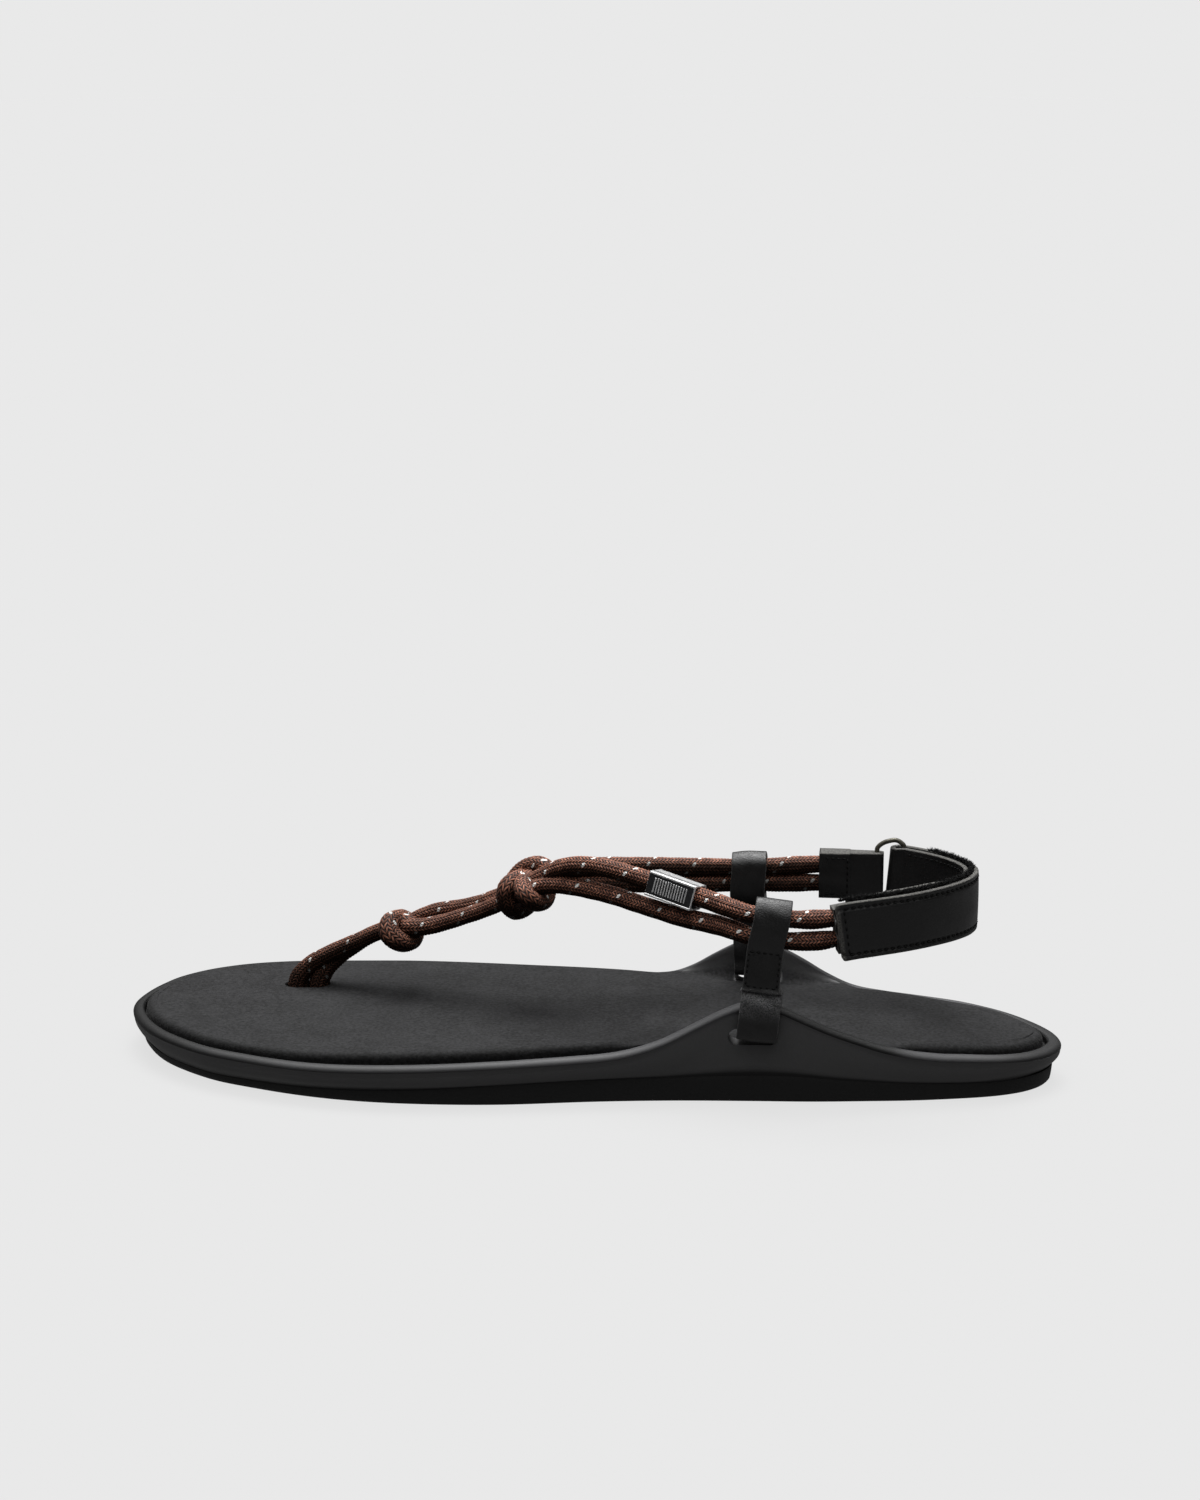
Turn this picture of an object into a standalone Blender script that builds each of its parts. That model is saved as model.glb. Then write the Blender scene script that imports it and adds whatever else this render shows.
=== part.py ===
"""Left rope sandal: flat moulded sole with two wings, rope upper, leather heel strap.

Frame: metres, +Z up, toe toward -X, outer (lateral) side toward -Y.
Tables below are in millimetres and scaled once, when a mesh is made.
"""
import bmesh
import bpy
import math
from mathutils import Matrix, Vector

MM = 0.001

for old in list(bpy.data.objects):
    bpy.data.objects.remove(old, do_unlink=True)

# ---------------------------------------------------------------- main sizes
PART_GAP = 0.3
FOOTBED_THICK = 4.0
RIM_WIDTH = 3.3
LIP_HEIGHT = 1.2
GROOVE_WIDTH = 1.2
WING_LEAN = 2.6
FILLET_REACH = 6.0
TOE_SPRING = 2.0
SPRING_START = -85.0
SPRING_LENGTH = 56.0
ROPE_SIDES = 10
FACET_SHIFT = 0.07
STRAP_PLY = 1.5
KEEPER_WIDTH = 11.6
KEEPER_EDGE = 0.25
KEEPER_PIVOT = 57.0
SLOT_LATERAL = (50.8, -35.0, 20.3)
SLOT_MEDIAL = (46.4, 30.0, 19.4)
SLOT_LENGTH = 14.5
SLOT_HEIGHT = 5.0
SLOT_REACH = 12.0
TOE_SLOT = (-91.6, 20.6, 12.0)
TOE_SLOT_LENGTH = 14.3
TOE_SLOT_WIDTH = 7.4
TOE_SLOT_REACH = 9.0
PEG_SIDES = 16
FOOT_UNDER = 0.8
TAPE_THICK = 0.8
TAPE_INSET = 1.6
RING_WIRE_R = 1.0
RING_CORNER = 2.2
FOLD_GAP = 0.5
POCKET_GAP = 0.45
BEAD_CENTRE = (26.4, -18.3, 59.2)
BEAD_AXIS = (18.0, -8.0, -2.7)
BEAD_SIZE = (15.6, 7.4, 7.6)
BEAD_ROLL = -8.0
BEAD_EDGE = 0.7
BORE_GAP = 0.4
BORE_SIDES = 14
WEIGHT_STEPS = 400
STATIONS = 52

# widest line of the rim seen from above; columns: x, y
RIM_MEDIAL = [
    (-142.1, 2.0), (-141.1, 11.5), (-138.4, 20.8), (-133.4, 30.8), (-124.0, 40.6),
    (-110.5, 47.8),
    (-92.0, 51.6), (-68.0, 50.9), (-40.0, 47.9), (-8.0, 43.0), (20.0, 38.0),
    (45.0, 33.6), (70.0, 31.4), (88.0, 28.7), (104.0, 25.2), (116.0, 21.8),
    (126.0, 17.0), (133.6, 10.6), (138.8, 3.2), (140.8, -4.6),
]
RIM_LATERAL = [
    (140.8, -4.6), (139.4, -11.0), (135.6, -17.4), (129.0, -23.2), (119.0, -27.9),
    (103.0, -31.7), (86.0, -34.5), (68.0, -37.4), (50.0, -38.9), (28.0, -40.8), (5.0, -43.9),
    (-21.5, -49.0), (-45.0, -51.8), (-65.0, -52.0), (-82.0, -49.6), (-99.0, -44.2),
    (-113.0, -38.2), (-126.5, -27.9), (-134.6, -18.2), (-140.0, -7.5), (-142.1, 2.0),
]
# rim height without the wings; columns: x, z
RIM_BASE = [
    (-142.0, 12.2), (-120.0, 11.8), (-84.0, 11.7), (-50.0, 12.7), (-21.0, 13.9),
    (5.0, 14.9), (30.0, 15.3), (80.0, 15.2), (107.0, 14.6), (122.0, 13.5), (132.0, 12.6), (141.0, 12.0),
]
# top of the footbed; columns: x, z
BED_TOP = [
    (-142.0, 14.0), (-120.0, 13.4), (-90.0, 13.4), (-60.0, 14.6), (-27.0, 15.7),
    (3.0, 16.8), (30.0, 17.4), (86.0, 17.0), (107.0, 15.9), (122.0, 15.2), (132.0, 14.5), (141.0, 14.1),
]
# top edge of the outsole above the underside; columns: x, z
OUTSOLE_TOP = [
    (-142.0, 2.8), (-113.0, 2.6), (-92.0, 3.1), (-73.0, 3.7), (-49.0, 4.7), (-21.0, 6.4),
    (4.0, 7.1), (28.0, 7.6), (47.0, 8.2), (63.0, 8.1), (78.0, 6.9), (90.0, 6.1),
    (103.0, 5.5), (120.0, 5.0), (141.0, 5.0),
]
# distance from the rim line in to the foot of the sole; columns: x, inset
FOOT_INSET = [
    (-142.0, 3.3), (-128.0, 3.9), (-112.0, 5.1), (-85.0, 5.8), (-50.0, 4.6), (-20.0, 3.6),
    (30.0, 4.2), (64.0, 4.2), (93.0, 3.4), (120.0, 4.0), (141.0, 3.2),
]
# extra rim height of each wing; columns: x, rise
WING_LATERAL = [
    (-4.0, 0.0), (8.0, 0.4), (16.0, 1.6), (25.0, 4.4), (35.0, 9.3), (41.0, 12.3),
    (46.5, 14.5), (52.0, 15.6), (58.0, 14.2), (64.5, 11.5), (73.5, 7.7), (82.5, 4.5),
    (88.5, 2.6), (97.0, 0.9), (106.0, 0.0),
]
WING_MEDIAL = [
    (8.0, 0.0), (17.0, 0.6), (23.0, 1.8), (29.0, 4.7), (35.0, 8.7), (41.0, 12.4),
    (46.0, 14.7), (50.0, 14.9), (57.0, 11.9), (63.0, 8.7), (70.0, 4.6), (78.0, 1.3),
    (88.0, 0.2), (98.0, 0.0),
]
WING_TALL = 15.8
# spacing of the stations along each side; columns: share of the way, density
STATION_DENSITY = [
    (0.0, 2.0), (0.08, 1.6), (0.2, 0.9), (0.42, 0.75), (0.52, 1.2), (0.62, 1.5),
    (0.76, 1.4), (0.86, 0.95), (0.93, 1.4), (1.0, 2.0),
]

# ---------------------------------------------------------------- rope routes
# rope centre lines; columns: x, y, z, radius
TOE_LOOP = [
    (-61.0, 14.5, 34.8, 2.6), (-65.2, 16.0, 33.6, 2.55), (-69.3, 17.0, 31.8, 2.5),
    (-74.0, 18.0, 29.2, 2.5), (-80.0, 19.2, 26.2, 2.5), (-86.0, 20.0, 22.9, 2.55),
    (-90.8, 20.5, 19.6, 2.7), (-94.1, 20.6, 15.6, 2.9), (-94.9, 20.6, 11.8, 2.95),
    (-94.0, 20.6, 9.0, 2.9), (-91.6, 20.6, 7.9, 2.8), (-89.2, 20.6, 9.0, 2.9),
    (-88.3, 20.6, 11.8, 2.95), (-87.4, 21.0, 15.2, 2.9), (-84.8, 21.7, 19.6, 2.65),
    (-81.0, 22.2, 22.9, 2.5), (-76.5, 22.2, 26.4, 2.5), (-72.0, 21.4, 29.6, 2.5),
    (-67.5, 20.0, 32.0, 2.5), (-62.5, 17.8, 33.8, 2.5),
]
CORD_NEAR_LOWER = [
    (-63.0, 14.0, 34.2, 2.5), (-59.7, 11.8, 35.5, 2.6), (-56.7, 10.6, 36.0, 2.7),
    (-53.0, 10.2, 36.4, 2.7), (-47.9, 9.8, 37.8, 2.6), (-41.6, 8.6, 40.2, 2.5),
    (-35.2, 7.0, 42.9, 2.45), (-29.6, 4.8, 46.0, 2.5), (-26.0, 3.2, 48.4, 2.6),
    (-22.1, 1.5, 50.4, 2.6), (-18.3, 0.0, 52.6, 2.65), (-14.2, -1.4, 54.2, 2.7),
    (-9.4, -3.0, 54.9, 2.7), (-3.1, -5.5, 55.0, 2.7), (3.1, -7.9, 54.5, 2.7),
    (9.4, -10.7, 53.8, 2.7), (15.6, -13.5, 52.8, 2.7), (21.8, -16.3, 51.8, 2.7),
    (27.9, -19.0, 50.9, 2.7), (34.1, -21.8, 50.2, 2.7), (40.5, -24.9, 49.6, 2.7),
    (45.4, -28.8, 49.5, 2.6), (49.2, -31.0, 49.2, 2.5), (56.0, -31.5, 48.8, 2.5),
    (62.0, -31.7, 48.7, 2.55), (68.5, -30.5, 48.8, 2.6), (74.0, -29.2, 49.2, 2.3),
    (81.0, -28.0, 49.9, 2.0),
]
CORD_NEAR_UPPER = [
    (-60.5, 17.5, 34.6, 2.5), (-57.1, 17.6, 36.0, 2.6), (-53.8, 16.6, 38.0, 2.6),
    (-48.6, 15.0, 40.3, 2.55), (-42.1, 13.0, 42.1, 2.5), (-35.6, 10.4, 44.4, 2.5),
    (-29.9, 7.8, 47.3, 2.55), (-25.0, 5.4, 50.2, 2.6), (-20.5, 3.6, 52.8, 2.6),
    (-17.0, 2.2, 55.0, 2.65), (-14.0, 0.6, 57.0, 2.7), (-10.9, -1.0, 59.0, 2.75),
    (-6.4, -3.6, 61.0, 2.75), (-1.6, -6.0, 62.1, 2.75), (3.1, -7.9, 62.3, 2.75),
    (9.4, -10.7, 61.8, 2.75), (15.6, -13.5, 61.0, 2.75), (21.8, -16.3, 60.0, 2.75),
    (28.0, -19.0, 58.9, 2.75), (35.8, -22.7, 58.0, 2.75), (42.6, -27.2, 57.4, 2.7),
    (49.0, -31.1, 56.7, 2.5), (56.0, -31.5, 56.0, 2.5), (62.0, -31.7, 55.6, 2.5),
    (68.5, -30.5, 55.8, 2.6), (74.0, -29.2, 56.0, 2.3), (81.0, -28.0, 56.5, 2.0),
]
CORD_FAR_UPPER = [
    (-22.0, 7.0, 52.6, 2.7), (-16.0, 7.6, 55.2, 2.7), (-9.0, 8.6, 56.8, 2.75),
    (0.0, 10.6, 57.1, 2.75), (10.0, 13.2, 56.8, 2.75), (22.0, 16.7, 56.0, 2.75),
    (33.0, 20.9, 55.0, 2.7), (40.4, 24.0, 54.3, 2.5), (46.4, 24.8, 54.2, 2.5),
    (52.4, 25.2, 54.5, 2.55), (60.0, 25.9, 55.0, 2.75), (67.0, 26.1, 55.4, 2.5),
    (72.0, 26.2, 55.4, 2.1), (79.0, 26.2, 55.4, 2.0),
]
CORD_FAR_LOWER = [
    (-24.0, 6.4, 49.6, 2.7), (-17.0, 7.5, 51.2, 2.7), (-9.0, 8.8, 51.9, 2.75),
    (0.0, 10.6, 51.8, 2.75), (10.0, 13.2, 51.3, 2.75), (22.0, 16.7, 50.5, 2.75),
    (33.0, 20.9, 49.7, 2.7), (40.4, 24.0, 49.2, 2.5), (46.4, 24.8, 49.1, 2.5),
    (52.4, 25.2, 49.2, 2.55), (60.0, 25.9, 49.4, 2.75), (67.0, 26.1, 49.6, 2.5),
    (72.0, 26.2, 49.8, 2.1), (79.0, 26.2, 49.9, 2.0),
]
# turns of rope round the two knots, closed on themselves; columns: x, y, z, radius
KNOT_TURNS = {
    "knot_toe_turn": [
        (-60.2, 16.8, 36.4, 2.7), (-61.8, 12.8, 37.3, 2.8), (-63.6, 10.4, 36.8, 2.9),
        (-64.3, 9.2, 35.0, 3.0), (-63.1, 9.4, 32.7, 2.9), (-60.5, 10.6, 30.9, 2.8),
        (-57.8, 14.0, 29.9, 2.75), (-56.4, 18.2, 30.8, 2.75), (-57.2, 20.8, 33.4, 2.7),
        (-58.8, 19.8, 35.4, 2.7),
    ],
    "knot_instep_left_turn": [
        (-20.0, 5.4, 56.0, 2.7), (-22.5, 0.6, 55.7, 2.75), (-25.0, -2.6, 53.6, 2.75),
        (-26.1, -3.4, 50.6, 2.75), (-25.2, -2.4, 47.4, 2.75), (-22.8, 2.0, 45.4, 2.75),
        (-20.6, 7.2, 45.8, 2.75), (-19.4, 10.0, 48.6, 2.75), (-19.4, 9.2, 52.8, 2.7),
    ],
    "knot_instep_right_turn": [
        (-17.4, 4.6, 55.2, 2.7), (-19.4, 0.2, 56.2, 2.75), (-21.2, -3.0, 55.4, 2.85),
        (-21.6, -4.6, 53.2, 2.95), (-20.4, -5.0, 50.8, 2.95), (-18.0, -2.6, 48.8, 2.85),
        (-15.4, 3.4, 48.8, 2.75), (-14.0, 7.4, 50.4, 2.75), (-14.8, 8.4, 53.0, 2.7),
    ],
    "knot_instep_top_turn": [
        (-24.0, 8.8, 51.6, 2.7), (-22.8, 7.2, 54.3, 2.7), (-19.8, 5.6, 57.2, 2.75),
        (-16.3, 4.2, 58.9, 2.75), (-13.5, 3.6, 57.8, 2.75), (-12.6, 5.0, 54.6, 2.75),
        (-14.6, 7.6, 51.0, 2.7), (-19.5, 9.2, 49.4, 2.7),
    ],
}
# packed rope inside each knot: centre, half sizes
KNOT_CORES = [
    ((-60.2, 15.2, 33.8), (4.2, 5.4, 4.4)), ((-20.2, 3.0, 52.2), (6.1, 6.9, 6.2)),
]

# ---------------------------------------------------------------- heel strap route
# outer face of the strap from its free end round the heel to the ring
# columns: x, y, bottom z, top z, slope of the strap
STRAP_OUTER = [
    (75.2, -36.2, 43.9, 61.0, 0.15), (80.0, -35.0, 44.6, 61.7, 0.15),
    (87.0, -32.8, 45.2, 62.3, 0.13), (95.0, -29.0, 45.6, 62.7, 0.11),
    (102.3, -23.6, 45.7, 62.9, 0.08), (108.8, -16.6, 45.5, 62.9, 0.05),
    (113.4, -8.6, 45.2, 62.8, 0.02), (115.0, 0.0, 45.0, 62.6, 0.0),
    (113.2, 8.6, 44.9, 62.2, 0.0), (108.4, 16.6, 45.0, 61.9, 0.0),
    (102.0, 23.2, 45.2, 61.7, 0.0), (96.2, 27.6, 45.3, 61.6, 0.0),
]
STRAP_TOTAL = 4.4
RING_BARS = (84.9, 92.3)
RING_SPAN = (43.0, 63.9)
RING_Y = 26.4
FAR_TAB_X = (67.2, 86.5)
FAR_TAB_Z = (45.5, 59.8)


# ---------------------------------------------------------------- helpers
def linear(table, x):
    """Value of a two-column table at x."""
    if x <= table[0][0]:
        return table[0][1]
    for (x0, v0), (x1, v1) in zip(table, table[1:]):
        if x <= x1:
            return v0 + (v1 - v0) * (x - x0) / (x1 - x0)
    return table[-1][1]


def smooth(table, x):
    """Value of a two-column table at x, along a rounded curve."""
    if x <= table[0][0]:
        return table[0][1]
    if x >= table[-1][0]:
        return table[-1][1]
    slopes = []
    for i in range(len(table)):
        a = table[max(i - 1, 0)]
        b = table[min(i + 1, len(table) - 1)]
        slopes.append((b[1] - a[1]) / (b[0] - a[0]))
    for i in range(len(table) - 1):
        x0, v0 = table[i]
        x1, v1 = table[i + 1]
        if x <= x1:
            h = x1 - x0
            t = (x - x0) / h
            a = (1 + 2 * t) * (1 - t) ** 2 * v0
            b = t * (1 - t) ** 2 * h * slopes[i]
            c = t * t * (3 - 2 * t) * v1
            d = t * t * (t - 1) * h * slopes[i + 1]
            return a + b + c + d
    return table[-1][1]


def mix(a, b, t):
    return a + (b - a) * t


def ramp(v, low, high):
    """Soft step from 0 at low to 1 at high."""
    t = min(1.0, max(0.0, (v - low) / (high - low)))
    return t * t * (3 - 2 * t)


def curve_points(rows, per, closed=False):
    """Rows of any width joined by a Catmull-Rom curve, `per` steps in each span."""
    n = len(rows)
    out = []
    spans = n if closed else n - 1
    for i in range(spans):
        if closed:
            p0, p1, p2, p3 = (rows[(i + k) % n] for k in (-1, 0, 1, 2))
        else:
            p0 = rows[max(i - 1, 0)]
            p1 = rows[i]
            p2 = rows[i + 1]
            p3 = rows[min(i + 2, n - 1)]
        for s in range(per):
            t = s / per
            row = []
            for a, b, c, d in zip(p0, p1, p2, p3):
                v = 2 * b + (c - a) * t + (2 * a - 5 * b + 4 * c - d) * t * t
                v += (3 * b - a - 3 * c + d) * t ** 3
                row.append(v / 2)
            out.append(tuple(row))
    if not closed:
        out.append(tuple(rows[-1]))
    return out


def material(name, colour, rough, metal=0.0):
    m = bpy.data.materials.new(name)
    m.use_nodes = True
    p = m.node_tree.nodes["Principled BSDF"]
    p.inputs["Base Color"].default_value = (*colour, 1.0)
    p.inputs["Roughness"].default_value = rough
    p.inputs["Metallic"].default_value = metal
    return m


def make(name, verts, faces, mat=None, sharp=32.0):
    """A closed mesh object from millimetre vertices."""
    bm = bmesh.new()
    made = [bm.verts.new(Vector(v) * MM) for v in verts]
    for f in faces:
        bm.faces.new([made[i] for i in f])
    bmesh.ops.recalc_face_normals(bm, faces=bm.faces[:])
    mesh = bpy.data.meshes.new(name)
    bm.to_mesh(mesh)
    bm.free()
    obj = bpy.data.objects.new(name, mesh)
    bpy.context.scene.collection.objects.link(obj)
    if mat is not None:
        mesh.materials.append(mat)
    mesh.shade_smooth()
    mesh.set_sharp_from_angle(angle=math.radians(sharp))
    return obj


def as_tool(obj):
    """Keep an object only as the second body of a Boolean."""
    obj.hide_render = True
    obj.display_type = "WIRE"
    return obj


def boolean(obj, tool, kind):
    m = obj.modifiers.new(tool.name, "BOOLEAN")
    m.object = tool
    m.operation = kind
    m.solver = "EXACT"
    m.use_self = kind == "UNION"


def rings_mesh(rings, closed_path=False, cap=True):
    """Vertices and faces of a body lofted through equal rings."""
    n = len(rings[0])
    verts = [v for ring in rings for v in ring]
    faces = []
    last = len(rings) if closed_path else len(rings) - 1
    for k in range(last):
        a = k * n
        b = ((k + 1) % len(rings)) * n
        for i in range(n):
            j = (i + 1) % n
            faces.append((a + i, a + j, b + j, b + i))
    if cap and not closed_path:
        faces.append(tuple(range(n)))
        faces.append(tuple((len(rings) - 1) * n + i for i in range(n)))
    return verts, faces


def strip_cap(start, half):
    """Quads across a ring whose two sides are paired, from tip to tip."""
    n = 2 * half
    faces = [(start, start + 1, start + n - 1)]
    for k in range(1, half - 1):
        faces.append((start + k, start + k + 1, start + n - k - 1, start + n - k))
    faces.append((start + half - 1, start + half, start + half + 1))
    return faces


def tube(name, rows, per, sides=ROPE_SIDES, closed=False, grow=0.0, mat=None, axes=None, phase=0.0):
    """Round rope along a route; rows hold x, y, z and radius; phase turns the facets."""
    pts = curve_points(rows, per, closed)
    centre = [Vector(p[:3]) for p in pts]
    radius = [p[3] + grow for p in pts]
    n = len(centre)
    rings = []
    side = None
    for i in range(n):
        a = centre[(i - 1) % n] if closed or i else centre[0]
        b = centre[(i + 1) % n] if closed or i < n - 1 else centre[-1]
        along = (b - a).normalized()
        if closed and axes:
            side = along.cross(axes)
        elif side is None:
            side = along.cross(Vector((0, 0, 1)))
            if side.length < 0.2:
                side = along.cross(Vector((0, 1, 0)))
        side = (side - along * side.dot(along)).normalized()
        up = along.cross(side)
        ring = []
        for k in range(sides):
            t = 2 * math.pi * (k + phase) / sides
            ring.append(centre[i] + (side * math.cos(t) + up * math.sin(t)) * radius[i])
        rings.append(ring)
    verts, faces = rings_mesh(rings, closed)
    return make(name, verts, faces, mat)


# ---------------------------------------------------------------- sole outline
def side_stations(before, points, after):
    """Stations along one side of the outline, closer together where the shape turns."""
    dense = curve_points([before] + points + [after], 24)[24:-24]
    length = [0.0]
    for a, b in zip(dense, dense[1:]):
        length.append(length[-1] + math.hypot(b[0] - a[0], b[1] - a[1]))
    total = length[-1]
    weight = [0.0]
    for i in range(WEIGHT_STEPS):
        weight.append(weight[-1] + linear(STATION_DENSITY, (i + 0.5) / WEIGHT_STEPS))
    out = []
    for k in range(STATIONS + 1):
        want = weight[-1] * k / STATIONS
        i = max(j for j in range(WEIGHT_STEPS) if weight[j] <= want)
        share = (i + (want - weight[i]) / (weight[i + 1] - weight[i])) / WEIGHT_STEPS
        s = share * total
        j = max(q for q in range(len(dense) - 1) if length[q] <= s + 1e-9)
        t = (s - length[j]) / (length[j + 1] - length[j])
        out.append((mix(dense[j][0], dense[j + 1][0], t), mix(dense[j][1], dense[j + 1][1], t)))
    return out


def outline_ring():
    """Rim outline as points with side flag, toe tip first, medial side first."""
    medial = side_stations(RIM_LATERAL[-2], RIM_MEDIAL, RIM_LATERAL[1])
    lateral = side_stations(RIM_MEDIAL[1], RIM_LATERAL[::-1], RIM_MEDIAL[-2])
    ring = [(x, y, 1) for x, y in medial]
    ring += [(x, y, -1) for x, y in lateral[-2:0:-1]]
    return ring


OUTLINE = outline_ring()
COUNT = len(OUTLINE)


def inward_normals():
    out = []
    for i in range(COUNT):
        a = OUTLINE[i - 1]
        b = OUTLINE[(i + 1) % COUNT]
        v = Vector((b[0] - a[0], b[1] - a[1]))
        n = Vector((v.y, -v.x)).normalized()
        out.append(n)
    return out


NORMALS = inward_normals()


def ground(x):
    """Height of the underside: flat, with a little spring at the toe."""
    t = max(0.0, (SPRING_START - x) / SPRING_LENGTH)
    return TOE_SPRING * t * t


def wing(i):
    """Wing height at outline point i as a share of the full wing."""
    x, _, side = OUTLINE[i]
    rise = smooth(WING_MEDIAL if side > 0 else WING_LATERAL, x)
    return min(1.0, max(0.0, rise) / WING_TALL)


def footbed_top(x):
    return smooth(BED_TOP, x)


def foot_inset(i):
    """Distance from the rim line to the bottom edge of the outsole."""
    return smooth(FOOT_INSET, OUTLINE[i][0])


def ring_at(inset, height):
    """Ring of points moved inward; inset and height are functions of the point index."""
    out = []
    for i, (x, y, _) in enumerate(OUTLINE):
        d = inset(i)
        px = x + NORMALS[i].x * d
        py = y + NORMALS[i].y * d
        out.append(Vector((px, py, height(i, px))))
    return out


def cup_edge(i):
    """Distance from the rim outline to the edge of the footbed's well."""
    return RIM_WIDTH + 0.3 + FILLET_REACH * (1 - (1 - wing(i)) ** 2.2)


def closeness(i):
    """0 where the groove beside the footbed is open, 1 where the wing closes it."""
    return ramp(wing(i), 0.02, 0.14)


# ---------------------------------------------------------------- materials
MAT_OUTSOLE = material("outsole_rubber", (0.012, 0.012, 0.013), 0.75)
MAT_MIDSOLE = material("midsole_foam", (0.03, 0.03, 0.032), 0.6)
MAT_FOOTBED = material("footbed_microfibre", (0.045, 0.045, 0.047), 0.85)
MAT_ROPE = material("rope_brown", (0.10, 0.035, 0.022), 0.8)
MAT_KEEPER_L = material("keeper_leather_lateral", (0.02, 0.02, 0.021), 0.5)
MAT_KEEPER_M = material("keeper_leather_medial", (0.02, 0.02, 0.021), 0.5)
MAT_STRAP = material("strap_leather", (0.018, 0.018, 0.019), 0.5)
MAT_TAB = material("tab_leather", (0.018, 0.018, 0.019), 0.5)
MAT_TAPE = material("hook_and_loop", (0.01, 0.01, 0.01), 0.95)
MAT_RING = material("ring_gunmetal", (0.12, 0.12, 0.12), 0.35, 1.0)
MAT_BEAD = material("bead_metal", (0.6, 0.6, 0.6), 0.25, 1.0)


# ---------------------------------------------------------------- outsole
def build_outsole():
    """Flat rubber sheet whose edge climbs highest under the arch."""
    def share(t):
        return lambda i, x: ground(x) + t * smooth(OUTSOLE_TOP, OUTLINE[i][0])

    rings = [
        ring_at(lambda i: foot_inset(i), lambda i, x: ground(x)),
        ring_at(lambda i: foot_inset(i) - 0.5, lambda i, x: ground(x) + 0.6),
        ring_at(lambda i: foot_inset(i) - 0.9, share(0.55)),
        ring_at(lambda i: foot_inset(i) - 1.2, share(1.0)),
    ]
    verts, faces = rings_mesh(rings, cap=False)
    faces += strip_cap(0, STATIONS)
    faces += strip_cap(3 * COUNT, STATIONS)
    return make("outsole", verts, faces, MAT_OUTSOLE)


# ---------------------------------------------------------------- midsole
def build_midsole():
    """Cup of foam: sloping side wall, thin rim lip, two raised wings, well for the footbed."""
    base = [ground(x) + smooth(OUTSOLE_TOP, x) + PART_GAP for x, _, _ in OUTLINE]
    rim = [smooth(RIM_BASE, x) for x, _, _ in OUTLINE]
    share = [wing(i) for i in range(COUNT)]
    top = [rim[i] + share[i] * WING_TALL for i in range(COUNT)]
    lean = [WING_LEAN * share[i] for i in range(COUNT)]
    close = [closeness(i) for i in range(COUNT)]
    bed = [footbed_top(x) for x, _, _ in OUTLINE]
    well = [z - FOOTBED_THICK - PART_GAP for z in bed]
    low = [foot_inset(i) - FOOT_UNDER for i in range(COUNT)]

    def level(below_rim):
        return lambda i, x: top[i] - below_rim

    def wall(t):
        """Side wall at share t of the way up, full at the top and tucked in below."""
        def inset(i):
            high = lean[i] + 0.9 * (1 - ramp(share[i], 0, 0.4)) + 0.3
            return mix(high, low[i], (1 - t) ** 1.6)

        def height(i, x):
            return mix(base[i], top[i] - LIP_HEIGHT - 1.3, t)

        return ring_at(inset, height)

    def undercut(i):
        return lean[i] + mix(0.75, 0.3, ramp(share[i], 0, 0.4))

    rings = [
        ring_at(lambda i: low[i], lambda i, x: base[i]),
        wall(0.35), wall(0.7), wall(1.0),
        ring_at(undercut, level(LIP_HEIGHT + 0.35)),
        ring_at(lambda i: lean[i] + 0.05, level(LIP_HEIGHT)),
        ring_at(lambda i: lean[i] + 0.1, level(0.45)),
        ring_at(lambda i: lean[i] + 0.7, level(0.05)),
        ring_at(lambda i: lean[i] + 2.7, level(0.0)),
        ring_at(lambda i: lean[i] + RIM_WIDTH, level(0.5)),
    ]

    def fillet(t):
        def inset(i):
            start = lean[i] + RIM_WIDTH
            bend = mix(RIM_WIDTH + 0.2, lean[i] + RIM_WIDTH + 0.8, close[i])
            return (1 - t) ** 2 * start + 2 * t * (1 - t) * bend + t * t * cup_edge(i)

        def height(i, x):
            start = top[i] - 0.5
            end = mix(well[i] + 0.35, bed[i], close[i])
            bend = mix(0.5 * (start + end), end + 0.12 * (start - end), close[i])
            return (1 - t) ** 2 * start + 2 * t * (1 - t) * bend + t * t * end

        return ring_at(inset, height)

    rings += [fillet(0.3), fillet(0.62), fillet(1.0)]
    rings.append(ring_at(cup_edge, lambda i, x: well[i]))
    verts, faces = rings_mesh(rings, cap=False)
    faces += strip_cap(0, STATIONS)
    faces += strip_cap((len(rings) - 1) * COUNT, STATIONS)
    return make("midsole", verts, faces, MAT_MIDSOLE)


# ---------------------------------------------------------------- footbed
def build_footbed():
    """Soft top sheet with a rolled edge."""
    def reach(i):
        return cup_edge(i) + mix(GROOVE_WIDTH, 0.35, closeness(i))

    def drop(amount):
        return lambda i, x: footbed_top(OUTLINE[i][0]) - amount * (1 - 0.9 * closeness(i))

    rings = [
        ring_at(lambda i: reach(i), lambda i, x: footbed_top(OUTLINE[i][0]) - FOOTBED_THICK),
        ring_at(lambda i: reach(i) - 0.05, drop(2.0)),
        ring_at(lambda i: reach(i) + 0.45, drop(1.0)),
        ring_at(lambda i: reach(i) + 1.4, drop(0.35)),
        ring_at(lambda i: reach(i) + 3.8, drop(0.0)),
    ]
    verts, faces = rings_mesh(rings, cap=False)
    faces += strip_cap(0, STATIONS)
    faces += strip_cap(4 * COUNT, STATIONS)
    return make("footbed", verts, faces, MAT_FOOTBED)


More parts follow.
